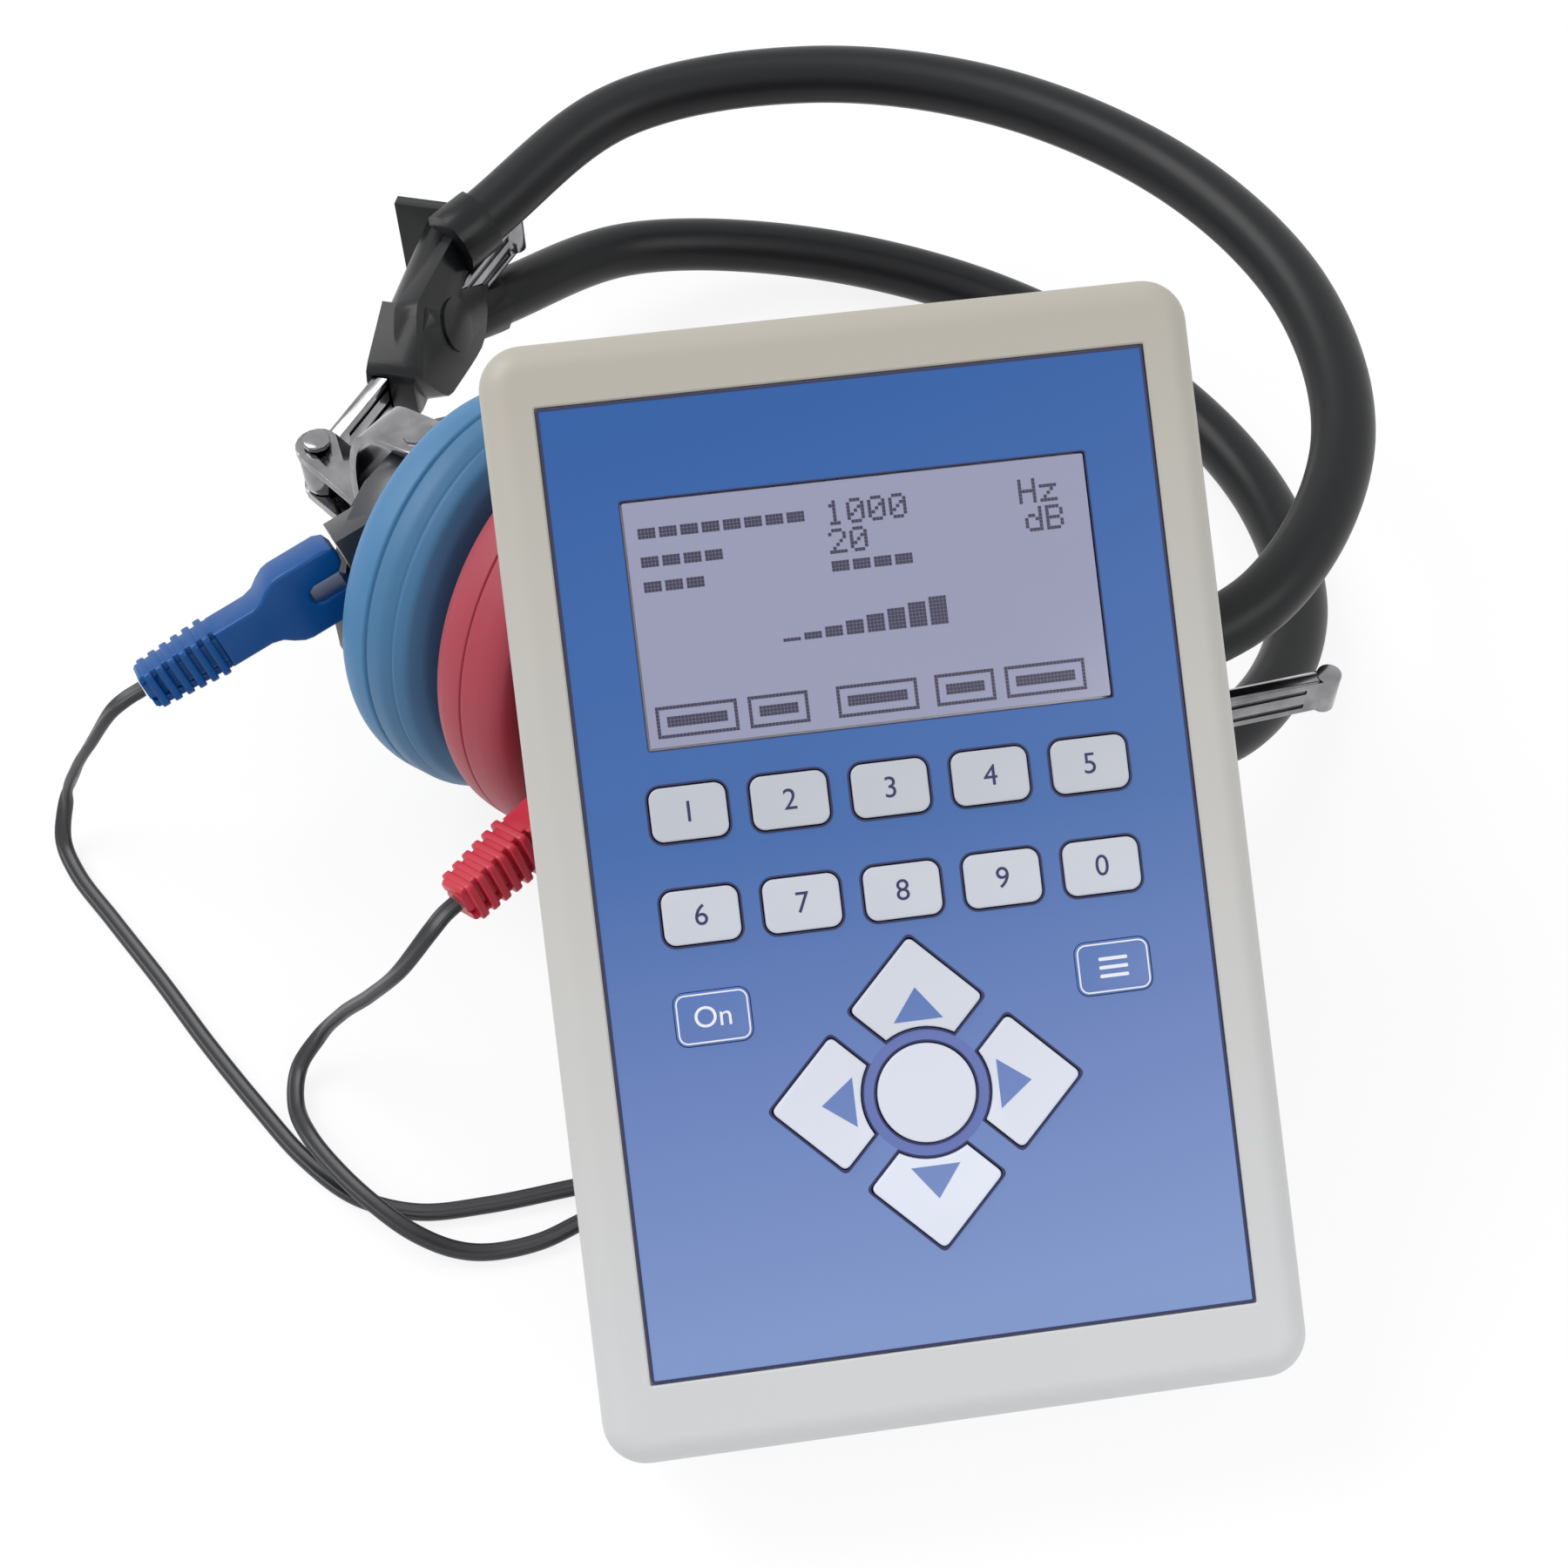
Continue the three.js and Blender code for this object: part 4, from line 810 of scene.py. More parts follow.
def coil_point(turn):
    per_layer = COIL_TURNS / COIL_LAYERS
    outer = COIL_RADIUS + per_layer * COIL_PITCH / 2
    layer = min(int(turn / per_layer), COIL_LAYERS - 1)
    within = turn - layer * per_layer
    inwards = layer % 2 == 0
    radius = outer - (within if inwards else per_layer - within) * COIL_PITCH
    climb = sum(min(max((turn - k * per_layer) * 2 + 0.5, 0), 1) for k in range(1, COIL_LAYERS))
    angle = COIL_START + turn * 2 * math.pi
    place = Vector((radius * math.cos(angle), radius * math.sin(angle), COIL_FLOOR + climb * COIL_PITCH))
    return COIL_CENTRE + place


def main_cord_path():
    lead = catmull([Vector(p) * MM for p in LEAD], 24)
    coil = [coil_point(COIL_TURNS * i / COIL_STEPS) for i in range(COIL_STEPS + 1)]
    points = [Vector(p) * MM for p in TAIL]
    shift = UNIT @ TAIL_END - SHIFT - points[-1]
    tail = catmull([p + shift * (i / (len(points) - 1)) for i, p in enumerate(points)], 40)
    return lead + coil + tail


def leg_section():
    """Two lobes side by side, with a groove along the middle of each face."""
    rise = headset_sizes().leg_height / 2
    lobe = headset_sizes().leg_width / 4
    out = []
    for side, start in ((1, -120), (-1, 60)):
        for i in range(11):
            angle = math.radians(start + 24 * i)
            out.append((lobe * (side * LOBE_APART + LOBE_SHARE * math.cos(angle)), rise * math.sin(angle)))
    return out


class MakeCords(bpy.types.Operator):
    """Makes the two flat legs, the Y moulding and the coiled cord to the unit"""
    bl_idname = "audiometer.make_cords"
    bl_label = "Cords"

    def execute(self, context):
        sizes = headset_sizes()
        jacket = cord_finish()
        path = main_cord_path()
        mesh = swept("main_cord", path, circle(sizes.main_width / 2, sides=20))
        main_cord = piece("main_cord", mesh, jacket)
        settle(main_cord, "base", ["cord_lead", "cord_coil", "cord_tail"])
        moulding = dressed("cord_moulding", "cord_junction", jacket, "base", 0.5 * MM, 40)
        for name, points, way in LEGS:
            path = catmull(off_plug(points, way), 220)
            mesh = swept("cord_leg_" + name, path, leg_section(), 50)
            leg = settle(piece("cord_leg_" + name, mesh, jacket), "base", ["cord_" + name])
        return {"FINISHED"}


# Unit
LIP = 0.35 * MM
ROOF = 3 * MM
LEAST_CORNER = 0.8 * MM
POCKET_BEVEL = 0.5 * MM
POCKET_DROP = 0.22 * MM
INNER_WIDTH = 86 * MM
INNER_LENGTH = 146 * MM
CUT_BOTTOM = -2 * MM
CUT_TOP = 4 * MM
BAY_WIDTH = 27.1 * MM
BAY_LENGTH = 54.6 * MM
BAY_MIDDLE = (-14 * MM, 50.9 * MM)
SOCKET_PLACE = (42 * MM, 62 * MM)
SOCKET_HOLE = 6.3 * MM
SINK_RADIUS = 3.1 * MM
SINK_DEPTH = 2.45 * MM
SCREW_PROFILE = ((0.3, 0), (0.3, 1.7), (0.55, 2.5), (1.1, 2.8), (1.5, 2.6), (2.3, 1.4), (24, 1.4), (24, 0))
FEET = (("foot_lower", 11 * MM), ("foot_upper", 165 * MM))
FOOT_LENGTH = 56 * MM
FOOT_WIDTH = 6 * MM
SCREW_PLACES = [(x * MM, y * MM) for x in (-46, 46) for y in (9, 167)]
DOOR_PLACE = (-14 * MM, 19 * MM)
DOOR_WIDTH = 38 * MM
DOOR_LENGTH = 60 * MM
DOOR_THICKNESS = 1.2 * MM
DOOR_TRAVEL = 4 * MM


def edge_rings(edge, top, steps):
    """Insets and rises of a rounded outer edge that turns from the side on to a face."""
    angles = [math.radians(90 * i / steps) for i in range(steps + 1)]
    return [(edge * (1 - math.cos(angle)), top - edge + edge * math.sin(angle)) for angle in angles]


def ring_at(inset, rise):
    """The case's outline, that far in from its widest."""
    s = unit_sizes()
    corner = max(s.corner - inset, LEAST_CORNER)
    outline = rounded(s.width - 2 * inset, s.height - 2 * inset, corner, 10, (0, s.height / 2))
    return level_ring(outline, rise)


def panel_outline(grow, corner, steps=4):
    s = unit_sizes()
    middle = (0, s.panel_bottom + s.panel_height / 2)
    return rounded(s.panel_width + grow, s.panel_height + grow, corner, steps, middle)


def window_outline(grow, corner):
    s = unit_sizes()
    middle = (0, s.window_bottom + s.window_height / 2)
    return rounded(s.window_width + grow, s.window_height + grow, corner, 4, middle)


def front_case():
    """The front shell, from its lower rim round the outside to the panel's pocket and the inside."""
    s = unit_sizes()
    foot = s.split + GAP
    under = PANEL_UNDER - GAP
    roof = s.depth - ROOF
    pocket = panel_outline(2 * GAP, 0.3 * MM, 10)
    rim = panel_outline(2 * GAP + POCKET_BEVEL, 0.5 * MM, 10)
    inner = rounded(INNER_WIDTH, INNER_LENGTH, 2 * MM, 10, (0, s.panel_bottom + s.panel_height / 2))
    rings = [ring_at(s.wall, foot), ring_at(LIP, foot), ring_at(0, foot + GAP)]
    rings += [ring_at(inset, rise) for inset, rise in edge_rings(s.front_edge, s.depth, 10)]
    rings += [level_ring(outline, level) for outline, level in (
        (rim, s.depth), (pocket, s.depth - POCKET_DROP), (pocket, under), (inner, under), (inner, roof))]
    rings += [ring_at(s.wall, roof), rings[0]]
    return from_rings("front_case", rings, UNIT, close=False, angle=30)


def back_case():
    """The hollow back shell, with the door's slot, the battery bay, the socket's hole and screw sinks."""
    s = unit_sizes()
    rings = [ring_at(s.wall, s.split), ring_at(LIP, s.split), ring_at(0, s.split - GAP)]
    rings += [ring_at(inset, s.depth - rise) for inset, rise in edge_rings(BACK_EDGE, s.depth, 8)]
    slot_length = DOOR_LENGTH + DOOR_TRAVEL
    slot_middle = (DOOR_PLACE[0], DOOR_PLACE[1] + slot_length / 2)
    slot = rounded(DOOR_WIDTH + 2 * GAP, slot_length + 2 * GAP, 0.8 * MM, 4, slot_middle)
    bay = rounded(BAY_WIDTH, BAY_LENGTH, 0.6 * MM, 4, BAY_MIDDLE)
    cuts = [(slot, DOOR_THICKNESS + GAP), (bay, CUT_TOP), (circle(SOCKET_HOLE, SOCKET_PLACE, 48), CUT_TOP)]
    cuts += [(circle(SINK_RADIUS, place, 32), SINK_DEPTH) for place in SCREW_PLACES]
    hollow = [ring_at(s.wall, level) for level in (s.wall, s.split + 2 * MM)]
    tools = [from_rings("hollow", hollow)]
    tools += [plate_mesh("cut", [outline], CUT_BOTTOM, level) for outline, level in cuts]
    mesh = carved("back_case", from_rings("back_body", rings, angle=30), tools, angle=30)
    mesh.transform(UNIT)
    return mesh


class MakeCase(bpy.types.Operator):
    """Makes the front and back shells, the battery door, screws and rubber feet"""
    bl_idname = "audiometer.make_case"
    bl_label = "Case"

    def execute(self, context):
        plastic = case_finish()
        settle(piece("front_case", front_case(), plastic), "base", ["front_shell"])
        settle(piece("back_case", back_case(), plastic), "base", ["back_shell"])
        settle(ribbed_door(plastic), "door", ["battery_door"])
        rubber = surface("foot rubber", linear(40, 40, 42), rough=0.7, drift=0.12, fine=1300, depth=0.04)
        for name, y in FEET:
            strip = rounded(FOOT_LENGTH, FOOT_WIDTH, 2.6 * MM, 8, (0, y))
            mesh = plate_mesh(name + "_strip", [strip], -1.5 * MM, -0.3 * MM, 0.35 * MM, UNIT)
            settle(piece(name + "_strip", mesh, rubber), "base", [name])
        steel = surface("screw steel", (0.55, 0.55, 0.56), rough=0.28, drift=0.1, metal=1, marks=0.3)
        settle(screw_heads(steel), "base", ["screw_1", "screw_2", "screw_3", "screw_4"])
        return {"FINISHED"}


def copies_tree(name, inputs):
    """A node group that puts copies of a shape on points, with its inlet and its copying node."""
    tree = bpy.data.node_groups.new(name, "GeometryNodeTree")
    for label, kind in (*inputs, ("Shape", "Object"), ("Finish", "Material")):
        tree.interface.new_socket(label, in_out="INPUT", socket_type="NodeSocket" + kind)
    tree.interface.new_socket("Mesh", in_out="OUTPUT", socket_type="NodeSocketGeometry")
    inlet = node(tree, "NodeGroupInput")
    outlet = node(tree, "NodeGroupOutput")
    info = node(tree, "GeometryNodeObjectInfo")
    copies = node(tree, "GeometryNodeInstanceOnPoints")
    real = node(tree, "GeometryNodeRealizeInstances")
    finish = node(tree, "GeometryNodeSetMaterial")
    wire(tree, (inlet, "Shape", info, "Object"), (info, "Geometry", copies, "Instance"),
         (copies, "Instances", real, "Geometry"), (real, "Geometry", finish, "Geometry"),
         (inlet, "Finish", finish, "Material"), (finish, "Geometry", outlet, "Mesh"))
    return tree, inlet, copies


def repeat_tree():
    """Puts a copy of an object, at a given scale, on each point."""
    tree, inlet, copies = copies_tree("repeat on points", (("Points", "Geometry"), ("Size", "Float")))
    wire(tree, (inlet, "Points", copies, "Points"), (inlet, "Size", copies, "Scale"))
    return tree


def copied(name, tree, points, values, matrix):
    """The placed mesh that a node group makes from points and its values; its shape is used up."""
    holder = piece(name, mesh_of(name, points))
    modifier = holder.modifiers.new("copies", "NODES")
    modifier.node_group = tree
    for item in tree.interface.items_tree:
        if item.in_out == "INPUT" and item.name in values:
            modifier[item.identifier] = values[item.name]
    mesh = used_up(holder, values["Shape"])
    mesh.transform(matrix)
    return smoothed(mesh)


def repeated(name, points, shape, size, finish):
    """A mesh of copies of a shape on points, placed on the unit."""
    tree = bpy.data.node_groups.get("repeat on points") or repeat_tree()
    return copied(name, tree, points, {"Shape": shape, "Size": size, "Finish": finish}, UNIT)


def ribbed_door(plastic):
    """The battery door with its row of grip ribs."""
    x, y = DOOR_PLACE
    outline = rounded(DOOR_WIDTH, DOOR_LENGTH, 0.7 * MM, 6, (x, y + DOOR_LENGTH / 2))
    plate = plate_mesh("door_plate", [outline], 0, DOOR_THICKNESS, 0.2 * MM, UNIT)
    rib = plate_mesh("rib", [rounded(19 * MM, 1.1 * MM, 0.5 * MM, 4)], -0.4 * MM, 0.02 * MM, 0.12 * MM)
    points = [(x, y + (4.8 + 3.6 * i) * MM, 0) for i in range(4)]
    ribs = repeated("grip_ribs", points, piece("rib_shape", rib), 1.0, plastic)
    return merged("battery_cover", [(plate, plastic), (ribs, plastic)])


def screw_heads(steel):
    """Four cross-recessed screws, sunk in the back shell."""
    profile = [(a * MM, r * MM) for a, r in SCREW_PROFILE]
    head = turned("screw", profile, Matrix.Rotation(math.radians(-90), 4, "Y"), 32)
    cross = [
        plate_mesh("slot", [rounded(w * MM, h * MM, 0.1 * MM, 2)], -1 * MM, 1.1 * MM)
        for w, h in ((3, 0.7), (0.7, 3))
    ]
    shape = piece("screw_shape", carved("screw", head, cross))
    mesh = repeated("case_screws", [(x, y, 0) for x, y in SCREW_PLACES], shape, 1.0, steel)
    return piece("case_screws", mesh, steel)


# Keys
BLUE_KEYS = ("key_on", "key_menu")
KEY_ROWS = (100.5 * MM, 84.35 * MM, 68.5 * MM)
KEY_RISE = 0.5 * MM
BLUE_RISE = 0.2 * MM
KEY_ROOT = 0.6 * MM
LINED_GAP = 0.25 * MM
PLAIN_GAP = 0.1 * MM
LINE_WIDTH = 0.3 * MM
KITE_HALF = 10.5 * MM
KITE_RING = 10.4 * MM
KITE_OFFSET = 14 * MM
KITE_CORNER = 1.1 * MM
CENTRE_RADIUS = 7.75 * MM
PAD_RING = (9.85 * MM, 8.3 * MM)
WHITE_LINE = (0.34 * MM, 0.58 * MM)
MENU_PITCH = 1.35 * MM
KEY_EDGE = ((0, 0.3), (0.04, 0.14), (0.14, 0.04), (0.32, 0))
PAD_CENTRE = (0, 52.6 * MM)
ARROW_HALF = 3.9 * MM
ARROW_LENGTH = 5.2 * MM
ARROW_START = 11.4 * MM


def kite(turn, grow):
    """An arrow key's outline: a square on its corner with the pad's ring cut out of it."""
    half = KITE_HALF + grow * math.sqrt(2)
    ring = KITE_RING - grow
    meet = (half + KITE_OFFSET - math.sqrt(2 * ring * ring - (KITE_OFFSET - half) ** 2)) / 2
    start = math.atan2(KITE_OFFSET - meet, half - meet)
    arc = [math.pi - start + (2 * start - math.pi) * i / 10 for i in range(11)]
    out = []
    chain = [
        (half - meet, KITE_OFFSET - meet), (half, KITE_OFFSET), (0, KITE_OFFSET + half), (-half, KITE_OFFSET),
        (meet - half, KITE_OFFSET - meet),
    ]
    for before, corner, after in zip(chain, chain[1:], chain[2:]):
        out += bent(before, corner, after, KITE_CORNER, 6)
    out += [(ring * math.cos(a), ring * math.sin(a)) for a in arc]
    return spun(out, turn)


def key_table():
    """Each key's name, place, rise over the panel, outline by growth, and turn of its arrow."""
    s = unit_sizes()

    def box(grow):
        return rounded(s.key_width + 2 * grow, s.key_height + 2 * grow, s.key_corner + grow, 7)

    rows = []
    for i in range(10):
        place = ((i % 5 - 2) * KEY_PITCH, KEY_ROWS[i // 5])
        rows.append(("key_%d" % ((i + 1) % 10), place, KEY_RISE, box, None))
    for name, column in zip(BLUE_KEYS, (-2, 2)):
        rows.append((name, (column * KEY_PITCH, KEY_ROWS[2]), BLUE_RISE, box, None))
    for i, word in enumerate(("up", "left", "down", "right")):
        turn = i * math.pi / 2
        rows.append(("key_" + word, PAD_CENTRE, KEY_RISE, lambda grow, t=turn: kite(t, grow), turn))
    rows.append(("key_centre", PAD_CENTRE, KEY_RISE, lambda grow: circle(CENTRE_RADIUS + grow), None))
    return rows


def print_mesh(outlines, level=PANEL_TOP):
    """A thin print on the unit, within the first outline and outside the others."""
    return plate_mesh("print", outlines, level, level + SKIN, 0, UNIT)


def key_prints(name, place, top, outline, turn):
    """The (mesh, finish) pairs of a key's digit, word, lines or arrow."""
    white = surface("white ink", linear(236, 238, 246), rough=0.5, drift=0.03, depth=0.005)
    size = unit_sizes().digit_size
    spot = UNIT @ Matrix.Translation((*place, top + SKIN / 2))
    prints = []
    if name[4:].isdigit():
        prints.append((text_mesh(name + "_digit", name[4:], size, spot), ink_finish()))
    if name == "key_on":
        prints.append((text_mesh("on_word", "On", size, spot), white))
    if name == "key_menu":
        for i in (-1, 0, 1):
            bar = rounded(4.6 * MM, 0.55 * MM, 0.2 * MM, 3, (place[0], place[1] + i * MENU_PITCH))
            prints.append((print_mesh([bar], top), white))
    if name in BLUE_KEYS:
        outer, inner = (moved(outline(-inset), place) for inset in WHITE_LINE)
        prints.append((print_mesh([outer, inner], top), white))
    if turn is not None:
        mark = [(-ARROW_HALF, ARROW_START), (ARROW_HALF, ARROW_START), (0, ARROW_START + ARROW_LENGTH)]
        mark = moved(spun(mark, turn), place)
        prints.append((print_mesh([mark], top), panel_finish()))
    return prints


class MakeKeys(bpy.types.Operator):
    """Makes the number, arrow, centre, On and menu keys with their prints"""
    bl_idname = "audiometer.make_keys"
    bl_label = "Keys"

    def execute(self, context):
        # These stops paint a reflected haze of light: the keys are lighter towards the panel's lower end.
        stops = [(0.2, colours().keys_bottom), (0.6, colours().keys_top)]
        pale = surface("pale key", stops, rough=0.42, drift=0.015, fine=2600, depth=0.012, ends=unit_ends())
        for name, place, rise, outline, turn in key_table():
            top = PANEL_TOP + rise
            levels = [(0, PANEL_UNDER - KEY_ROOT)]
            levels += [(inset * MM, top - drop * MM) for inset, drop in KEY_EDGE]
            rings = [level_ring(moved(outline(-inset), place), level) for inset, level in levels]
            cap_blue = name in BLUE_KEYS
            body = (from_rings(name, rings, UNIT, angle=50), panel_finish() if cap_blue else pale)
            made = merged(name + "_cap", [body, *key_prints(name, place, top, outline, turn)])
            settle(made, "b_" + name, [name])
        return {"FINISHED"}


class MakePanel(bpy.types.Operator):
    """Makes the printed panel with its key openings and ink lines"""
    bl_idname = "audiometer.make_panel"
    bl_label = "Panel"

    def execute(self, context):
        ink = ink_finish()
        deep = surface("pad ring ink", linear(96, 112, 176), rough=0.5, drift=0.05, depth=0.01)
        view = window_outline(2 * GAP, 0.3 * MM)
        holes = [view]
        lines = []
        for name, place, rise, outline, turn in key_table():
            lined = name not in BLUE_KEYS
            grow = LINED_GAP if lined else PLAIN_GAP
            holes.append(moved(outline(grow), place))
            if lined:
                lines.append((print_mesh([moved(outline(grow + LINE_WIDTH), place), holes[-1]]), ink))
        outer = panel_outline(0, 0.3 * MM)
        lines.append((print_mesh([outer, panel_outline(-0.7 * MM, 0.2 * MM)]), ink))
        lines.append((print_mesh([window_outline(1 * MM, 0.5 * MM), view]), ink))
        lines.append((print_mesh([circle(radius, PAD_CENTRE) for radius in PAD_RING]), deep))
        sheet = plate_mesh("panel_sheet", [outer, *holes], PANEL_UNDER, PANEL_TOP, 0, UNIT)
        settle(merged("printed_panel", [(sheet, panel_finish()), *lines]), "base", ["panel"])
        return {"FINISHED"}


# Display
GLYPHS = {
    "0": ".###. #...# #..## #.#.# ##..# #...# .###.",
    "1": "..#.. .##.. ..#.. ..#.. ..#.. ..#.. .###.",
    "2": ".###. #...# ....# ...#. ..#.. .#... #####",
    "H": "#...# #...# #...# ##### #...# #...# #...#",
    "z": "..... ..... ##### ...#. ..#.. .#... #####",
    "d": "....# ....# .##.# #..## #...# #...# .####",
    "B": "####. #...# #...# ####. #...# #...# ####.",
}


def display_dots():
    """Dot places, in columns and rows from the window's upper left, of numbers, units and bars."""
    dots = []

    def write(words, column, row):
        for i, letter in enumerate(words):
            for y, line in enumerate(GLYPHS[letter].split()):
                for x, mark in enumerate(line):
                    if mark == "#":
                        dots.append((column + 6 * i + x, row + y))

    def bar(column, row, width, height):
        dots.extend((column + x, row + y) for x in range(width) for y in range(height))

    def box(column, row, width, height):
        for x in range(width):
            dots.extend(((column + x, row), (column + x, row + height - 1)))
        for y in range(1, height - 1):
            dots.extend(((column, row + y), (column + width - 1, row + y)))

    def bars(letters, column, row, height):
        for i in range(letters):
            bar(column + 6 * i, row, 5, height)

    write("1000", 55, 3)
    write("20", 55, 11)
    write("Hz", 110, 3)
    write("dB", 111, 11)
    bars(8, 2, 5, 3)
    bars(4, 2, 13, 3)
    bars(3, 2, 20, 3)
    bars(4, 55, 20, 3)
    for i in range(8):
        bar(39 + 6 * i, 40 - i, 5, i + 1)
    for column, letters in ((1, 4), (27, 3), (52, 4), (80, 3), (100, 4)):
        box(column, 55, 6 * letters - 1, 9)
        bar(column + 3, 58, 6 * letters - 7, 3)
    return dots


class MakeDisplay(bpy.types.Operator):
    """Makes the display window and its dots"""
    bl_idname = "audiometer.make_display"
    bl_label = "Display"

    def execute(self, context):
        s = unit_sizes()
        glass = surface("display window", colours().display, rough=0.12, drift=0.035, fine=1200,
                        depth=0.002, broad=22, coat=0.3, marks=0.05)
        dark = surface("display dots", colours().dots, rough=0.25, drift=0.1, depth=0.002)
        sheet = plate_mesh("window", [window_outline(0, 0.3 * MM)], PANEL_UNDER, PANEL_TOP, 0, UNIT)
        shape = piece("dot_shape", plate_mesh("dot", [rounded(0.92, 0.92, 0.08, 2)], 0, 0.05))
        left = -63.5 * s.dot_pitch
        top = s.window_bottom + s.window_height / 2 + 31.5 * s.dot_pitch
        points = [(left + x * s.dot_pitch, top - y * s.dot_pitch, PANEL_TOP) for x, y in display_dots()]
        dots = repeated("display_dots", points, shape, s.dot_pitch, dark)
        settle(merged("display_window", [(sheet, glass), (dots, dark)]), "base", ["lcd_window"])
        return {"FINISHED"}


# Headset
class MakeBand(bpy.types.Operator):
    """Makes the two headband tubes"""
    bl_idname = "audiometer.make_band"
    bl_label = "Headband"

    def execute(self, context):
        section = circle(headset_sizes().tube_radius, sides=40)
        for name, side in (("upper", 1), ("lower", -1)):
            mesh = swept("tube_" + name, band_path(side), section)
            settle(piece("tube_" + name, mesh, black_satin()), "base", ["band_tube_" + name])
        return {"FINISHED"}


class MakeClamps(bpy.types.Operator):
    """Makes the two clamps that hold the tubes and guide the rods"""
    bl_idname = "audiometer.make_clamps"
    bl_label = "Clamps"

    def execute(self, context):
        for name in SIDES:
            dressed("clamp_body_" + name, "clamp_" + name, black_gloss(), "base", 0.45 * MM,
                    segments=3)
        return {"FINISHED"}


class MakeArms(bpy.types.Operator):
    """Makes the yokes, slide rods and rivets"""
    bl_idname = "audiometer.make_arms"
    bl_label = "Yokes and rods"

    def execute(self, context):
        for name in SIDES:
            for part, edge in (("slide_", 0.18), ("yoke_", 0.25), ("rivet_", 0.3)):
                dressed(part + "piece_" + name, part + name, chrome_finish(), "arm_" + name,
                        edge * MM)
        return {"FINISHED"}


RIM_SHARES = (
    (2.1, 0.873), (3.9, 0.951), (6.2, 0.987), (9, 0.997), (12.6, 1), (16, 0.997), (18.4, 0.984),
    (20.2, 0.958), (21, 0.914),
)


def cushion_profile(grooves):
    """The cushion's side view, (from the contact plane, radius), with (place, half width, depth) grooves."""
    sizes = headset_sizes()
    rim = [(place, sizes.cushion_radius / MM * share) for place, share in RIM_SHARES]
    for place, half, deep in grooves:
        before = [p for p in rim if p[0] < place - 2 * half]
        after = [p for p in rim if p[0] > place + 2 * half]
        (x0, r0), (x1, r1) = before[-1], after[0]
        level = r0 + (r1 - r0) * (place - x0) / (x1 - x0)
        rim = [*before, (place - half, level), (place, level - deep), (place + half, level), *after]
    return [*CUSHION_FACE, *rim, (sizes.cushion_depth / MM, 0)]


# Lightening of the blue cushion's back band: a painted band of light along its lit rim.
LIT_BAND_SHARE = 1.2
CUSHION_FACE = ((7.2, 0), (7.2, 9), (4.2, 9.4), (2.2, 14), (1.2, 18), (1.2, 27.5))
GROOVES = {"left": ((12.6, 0.5, 0.9), (6.6, 0.45, 0.35)), "right": ((11.4, 0.22, 0.5),)}


class MakeEarphones(bpy.types.Operator):
    """Makes the cushions and the two-step shells of the earphones"""
    bl_idname = "audiometer.make_earphones"
    bl_label = "Earphones"

    def execute(self, context):
        blue = colours().blue_pad
        # The paler stops paint a band of light over the back part of the blue cushion.
        pale = tuple(value * LIT_BAND_SHARE for value in blue)
        ends = [SIDES["left"] @ Vector((along, 0, 0)) for along in (0, headset_sizes().cushion_depth)]
        pads = {
            "left": surface("blue rubber", [(0, blue), (0.56, blue), (0.62, pale), (1, pale)], drift=0.05,
                            fine=2000, depth=0.03, sheen=0.1, marks=0.2, ends=ends),
            "right": surface("red rubber", colours().red_pad, fine=2000, depth=0.03, sheen=0.1, marks=0.2),
        }
        gloss = surface("earphone shell plastic", linear(52, 53, 58), rough=0.26, drift=0.12, coat=0.1)
        for name, matrix in SIDES.items():
            profile = [(a * MM, r * MM) for a, r in cushion_profile(GROOVES[name])]
            mesh = turned("cushion", softened(profile, 0.9 * MM, 4), matrix, 160, 60)
            pad = piece("cushion_pad_" + name, mesh, pads[name])
            settle(pad, "phone_" + name, ["cushion_" + name])
            dressed("shell_" + name, "earphone_" + name, gloss, "phone_" + name,
                    0.35 * MM, 28, 3)
        return {"FINISHED"}


PLUG_LENGTH = 44 * MM
PLUG_ROLL = math.radians(-69)
PLUG_HALF = (
    (0, 9.1), (1.2, 8.7), (1.8, 7.6), (1.8, 2.2), (3.2, 0.9), (4.9, 0.6), (6.6, 1.3), (7.35, 3), (7.35, 12.6),
    (7, 14.2), (5.9, 16), (4.6, 17.6), (4, 19.6), (4, 27.9),
)
RIB_START = 28.7 * MM
RIB_RUN = 14.9 * MM
RIB_TAPER = 0.17


def plug_matrix(tip, way):
    """Local Z runs from the earphone to the cord, and the prongs' plane is rolled about it."""
    x = Vector((0, 0, 1)).cross(way).normalized()
    basis = Matrix((x, way.cross(x), way)).transposed().to_4x4()
    return Matrix.Translation(tip - way * PLUG_LENGTH + SHIFT) @ basis @ Matrix.Rotation(PLUG_ROLL, 4, "Z")


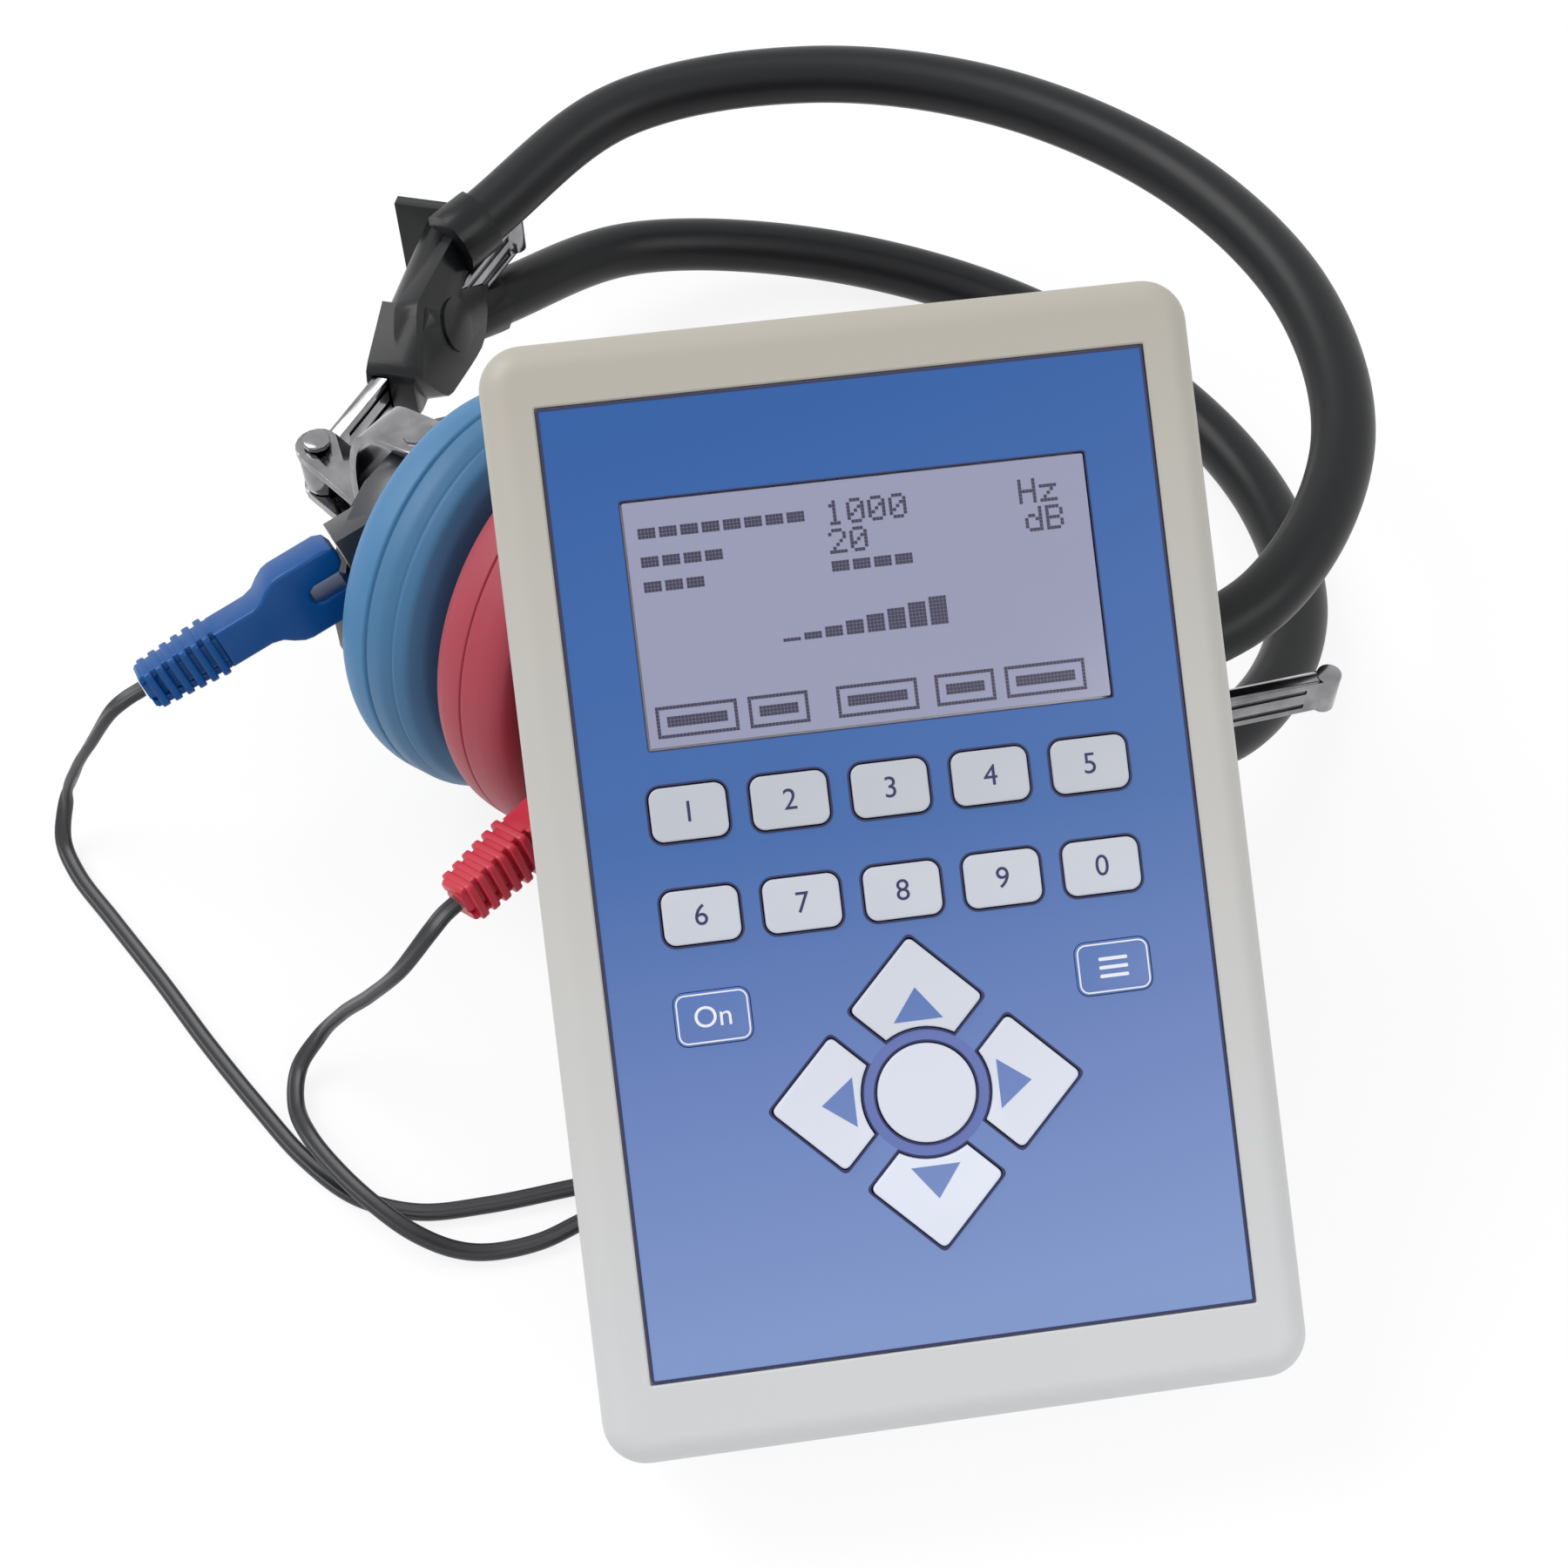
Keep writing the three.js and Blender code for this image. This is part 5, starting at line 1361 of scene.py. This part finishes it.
def rib_tree():
    """Ribs along a line, each a rounded block, smaller towards the cord."""
    tree, inlet, copies = copies_tree("tapering ribs", (
        ("Base", "Geometry"), ("Count", "Int"), ("Start", "Float"), ("Pitch", "Float"), ("Taper", "Float")))
    line = node(tree, "GeometryNodeMeshLine")
    place = node(tree, "ShaderNodeCombineXYZ")
    step = node(tree, "ShaderNodeCombineXYZ")
    index = node(tree, "GeometryNodeInputIndex")
    less = node(tree, "ShaderNodeMath", "MULTIPLY")
    scale = node(tree, "ShaderNodeMath", "SUBTRACT", {0: 1})
    size = node(tree, "ShaderNodeCombineXYZ", inputs={"Z": 1})
    wire(tree, (inlet, "Count", line, "Count"), (inlet, "Start", place, "Z"), (inlet, "Pitch", step, "Z"),
         (place, 0, line, "Start Location"), (step, 0, line, "Offset"), (index, 0, less, 0),
         (inlet, "Taper", less, 1), (less, 0, scale, 1), (scale, 0, size, "X"), (scale, 0, size, "Y"),
         (line, "Mesh", copies, "Points"), (size, 0, copies, "Scale"))
    return tree


def relief_ribs(finish, matrix):
    """The strain relief's ribs as one placed mesh."""
    count = headset_sizes().relief_ribs
    rib = plate_mesh("relief_rib", [rounded(9.2 * MM, 9.2 * MM, 1.1 * MM, 4)], 0, 1.5 * MM, 0.3 * MM)
    values = {
        "Shape": piece("rib_shape", rib), "Count": count, "Start": RIB_START, "Pitch": RIB_RUN / count,
        "Taper": RIB_TAPER / count, "Finish": finish,
    }
    tree = bpy.data.node_groups.get("tapering ribs") or rib_tree()
    return copied("relief_holder", tree, [(0, 0, 0)], values, matrix)


def plug_body(matrix):
    """The forked head, its squared neck, and the relief's core with a spine along each edge."""
    outline = [(x * MM, y * MM) for x, y in PLUG_HALF]
    outline += [(-x, y) for x, y in reversed(outline) if x]
    turn = Matrix(((1, 0, 0, 0), (0, 0, -1, 0), (0, 1, 0, 0), (0, 0, 0, 1)))
    head = plate_mesh("head", [outline], -4 * MM, 4 * MM, 0.7 * MM, turn)
    core = [
        level_ring(rounded(wide * MM, wide * MM, 1.2 * MM, 4), z * MM)
        for z, wide in ((24, 5.6), (28, 6.2), (36, 5.6), (43.4, 4.8), (43.9, 4.2))
    ]
    tools = [from_rings("core", core)]
    for side in (-1, 1):
        spine = [
            level_ring(rounded(1.6 * MM, 5.6 * MM, 0.4 * MM, 3, (side * (reach - 0.8) * MM, 0)), z * MM)
            for z, reach in ((26, 3.9), (28.4, 4.4), (43.2, 3.7), (43.7, 3.2))
        ]
        tools.append(from_rings("spine", spine))
    mesh = carved("plug_body", head, tools, "UNION", 40)
    mesh.transform(matrix)
    return mesh


class MakePlugs(bpy.types.Operator):
    """Makes the earphone plugs with their ribbed strain reliefs, and the unit's plug and socket"""
    bl_idname = "audiometer.make_plugs"
    bl_label = "Plugs"

    def execute(self, context):
        finishes = {
            "left": surface("blue plug plastic", colours().blue_plug, rough=0.3, drift=0.08, depth=0.03,
                            fine=1700, specular=0.3),
            "right": surface("red plug plastic", colours().red_plug, rough=0.32, drift=0.08, depth=0.03,
                             fine=1700),
        }
        for name, points, way in LEGS:
            matrix = plug_matrix(Vector(points[0]) * MM, way)
            finish = finishes[name]
            parts = [(plug_body(matrix), finish), (relief_ribs(finish, matrix), finish)]
            made = merged("plug_piece_" + name, parts)
            settle(made, "phone_" + name, ["plug_" + name])
        for name in ("unit_plug", "earphone_socket"):
            dressed(name + "_piece", name, black_satin(), "base", 0.25 * MM)
        return {"FINISHED"}


class FinishInside(bpy.types.Operator):
    """Gives the pieces inside the case and the earphones their finishes"""
    bl_idname = "audiometer.finish_inside"
    bl_label = "Inner pieces"

    def execute(self, context):
        green = surface("solder mask", linear(28, 104, 62), rough=0.35, drift=0.1)
        steel = surface("plain steel", (0.55, 0.55, 0.56), rough=0.3, drift=0.08, metal=1)
        dark = surface("inner black", linear(36, 36, 40), rough=0.6, drift=0.1, depth=0.03)
        for names, finish in (
            (("main_pcb",), green), (("lcd_module", "battery"), steel),
            (("keypad_mat", "battery_snap", "receiver_left", "receiver_right"), dark),
        ):
            for name in names:
                NODES[name].data.materials.clear()
                NODES[name].data.materials.append(finish)
        return {"FINISHED"}


class AudiometerPanel(bpy.types.Panel):
    """Lists the steps and the sizes"""
    bl_idname = "VIEW3D_PT_audiometer"
    bl_label = "Pure tone audiometer"
    bl_space_type = "VIEW_3D"
    bl_region_type = "UI"
    bl_category = "Audiometer"

    def draw(self, context):
        for step in STEPS:
            self.layout.operator(step.bl_idname)
        for group in ("unit_sizes", "headset_sizes", "part_colours"):
            holder = getattr(context.scene, group)
            for name in holder.bl_rna.properties.keys():
                if name not in ("rna_type", "name"):
                    self.layout.prop(holder, name)


STEPS = (
    MakeStage, MakeCords, MakeCase, MakePanel, MakeKeys, MakeDisplay, MakeBand, MakeClamps, MakeArms,
    MakeEarphones, MakePlugs, FinishInside,
)
GROUPS = (("unit_sizes", UnitSizes), ("headset_sizes", HeadsetSizes), ("part_colours", Colours))


def register():
    for name, group in GROUPS:
        bpy.utils.register_class(group)
        setattr(bpy.types.Scene, name, PointerProperty(type=group))
    for item in (*STEPS, AudiometerPanel):
        bpy.utils.register_class(item)


def unregister():
    for item in reversed((*STEPS, AudiometerPanel)):
        bpy.utils.unregister_class(item)
    for name, group in reversed(GROUPS):
        delattr(bpy.types.Scene, name)
        bpy.utils.unregister_class(group)


def main():
    register()
    for step in STEPS:
        group, name = step.bl_idname.split(".")
        getattr(getattr(bpy.ops, group), name)()


if __name__ == "__main__":
    main()
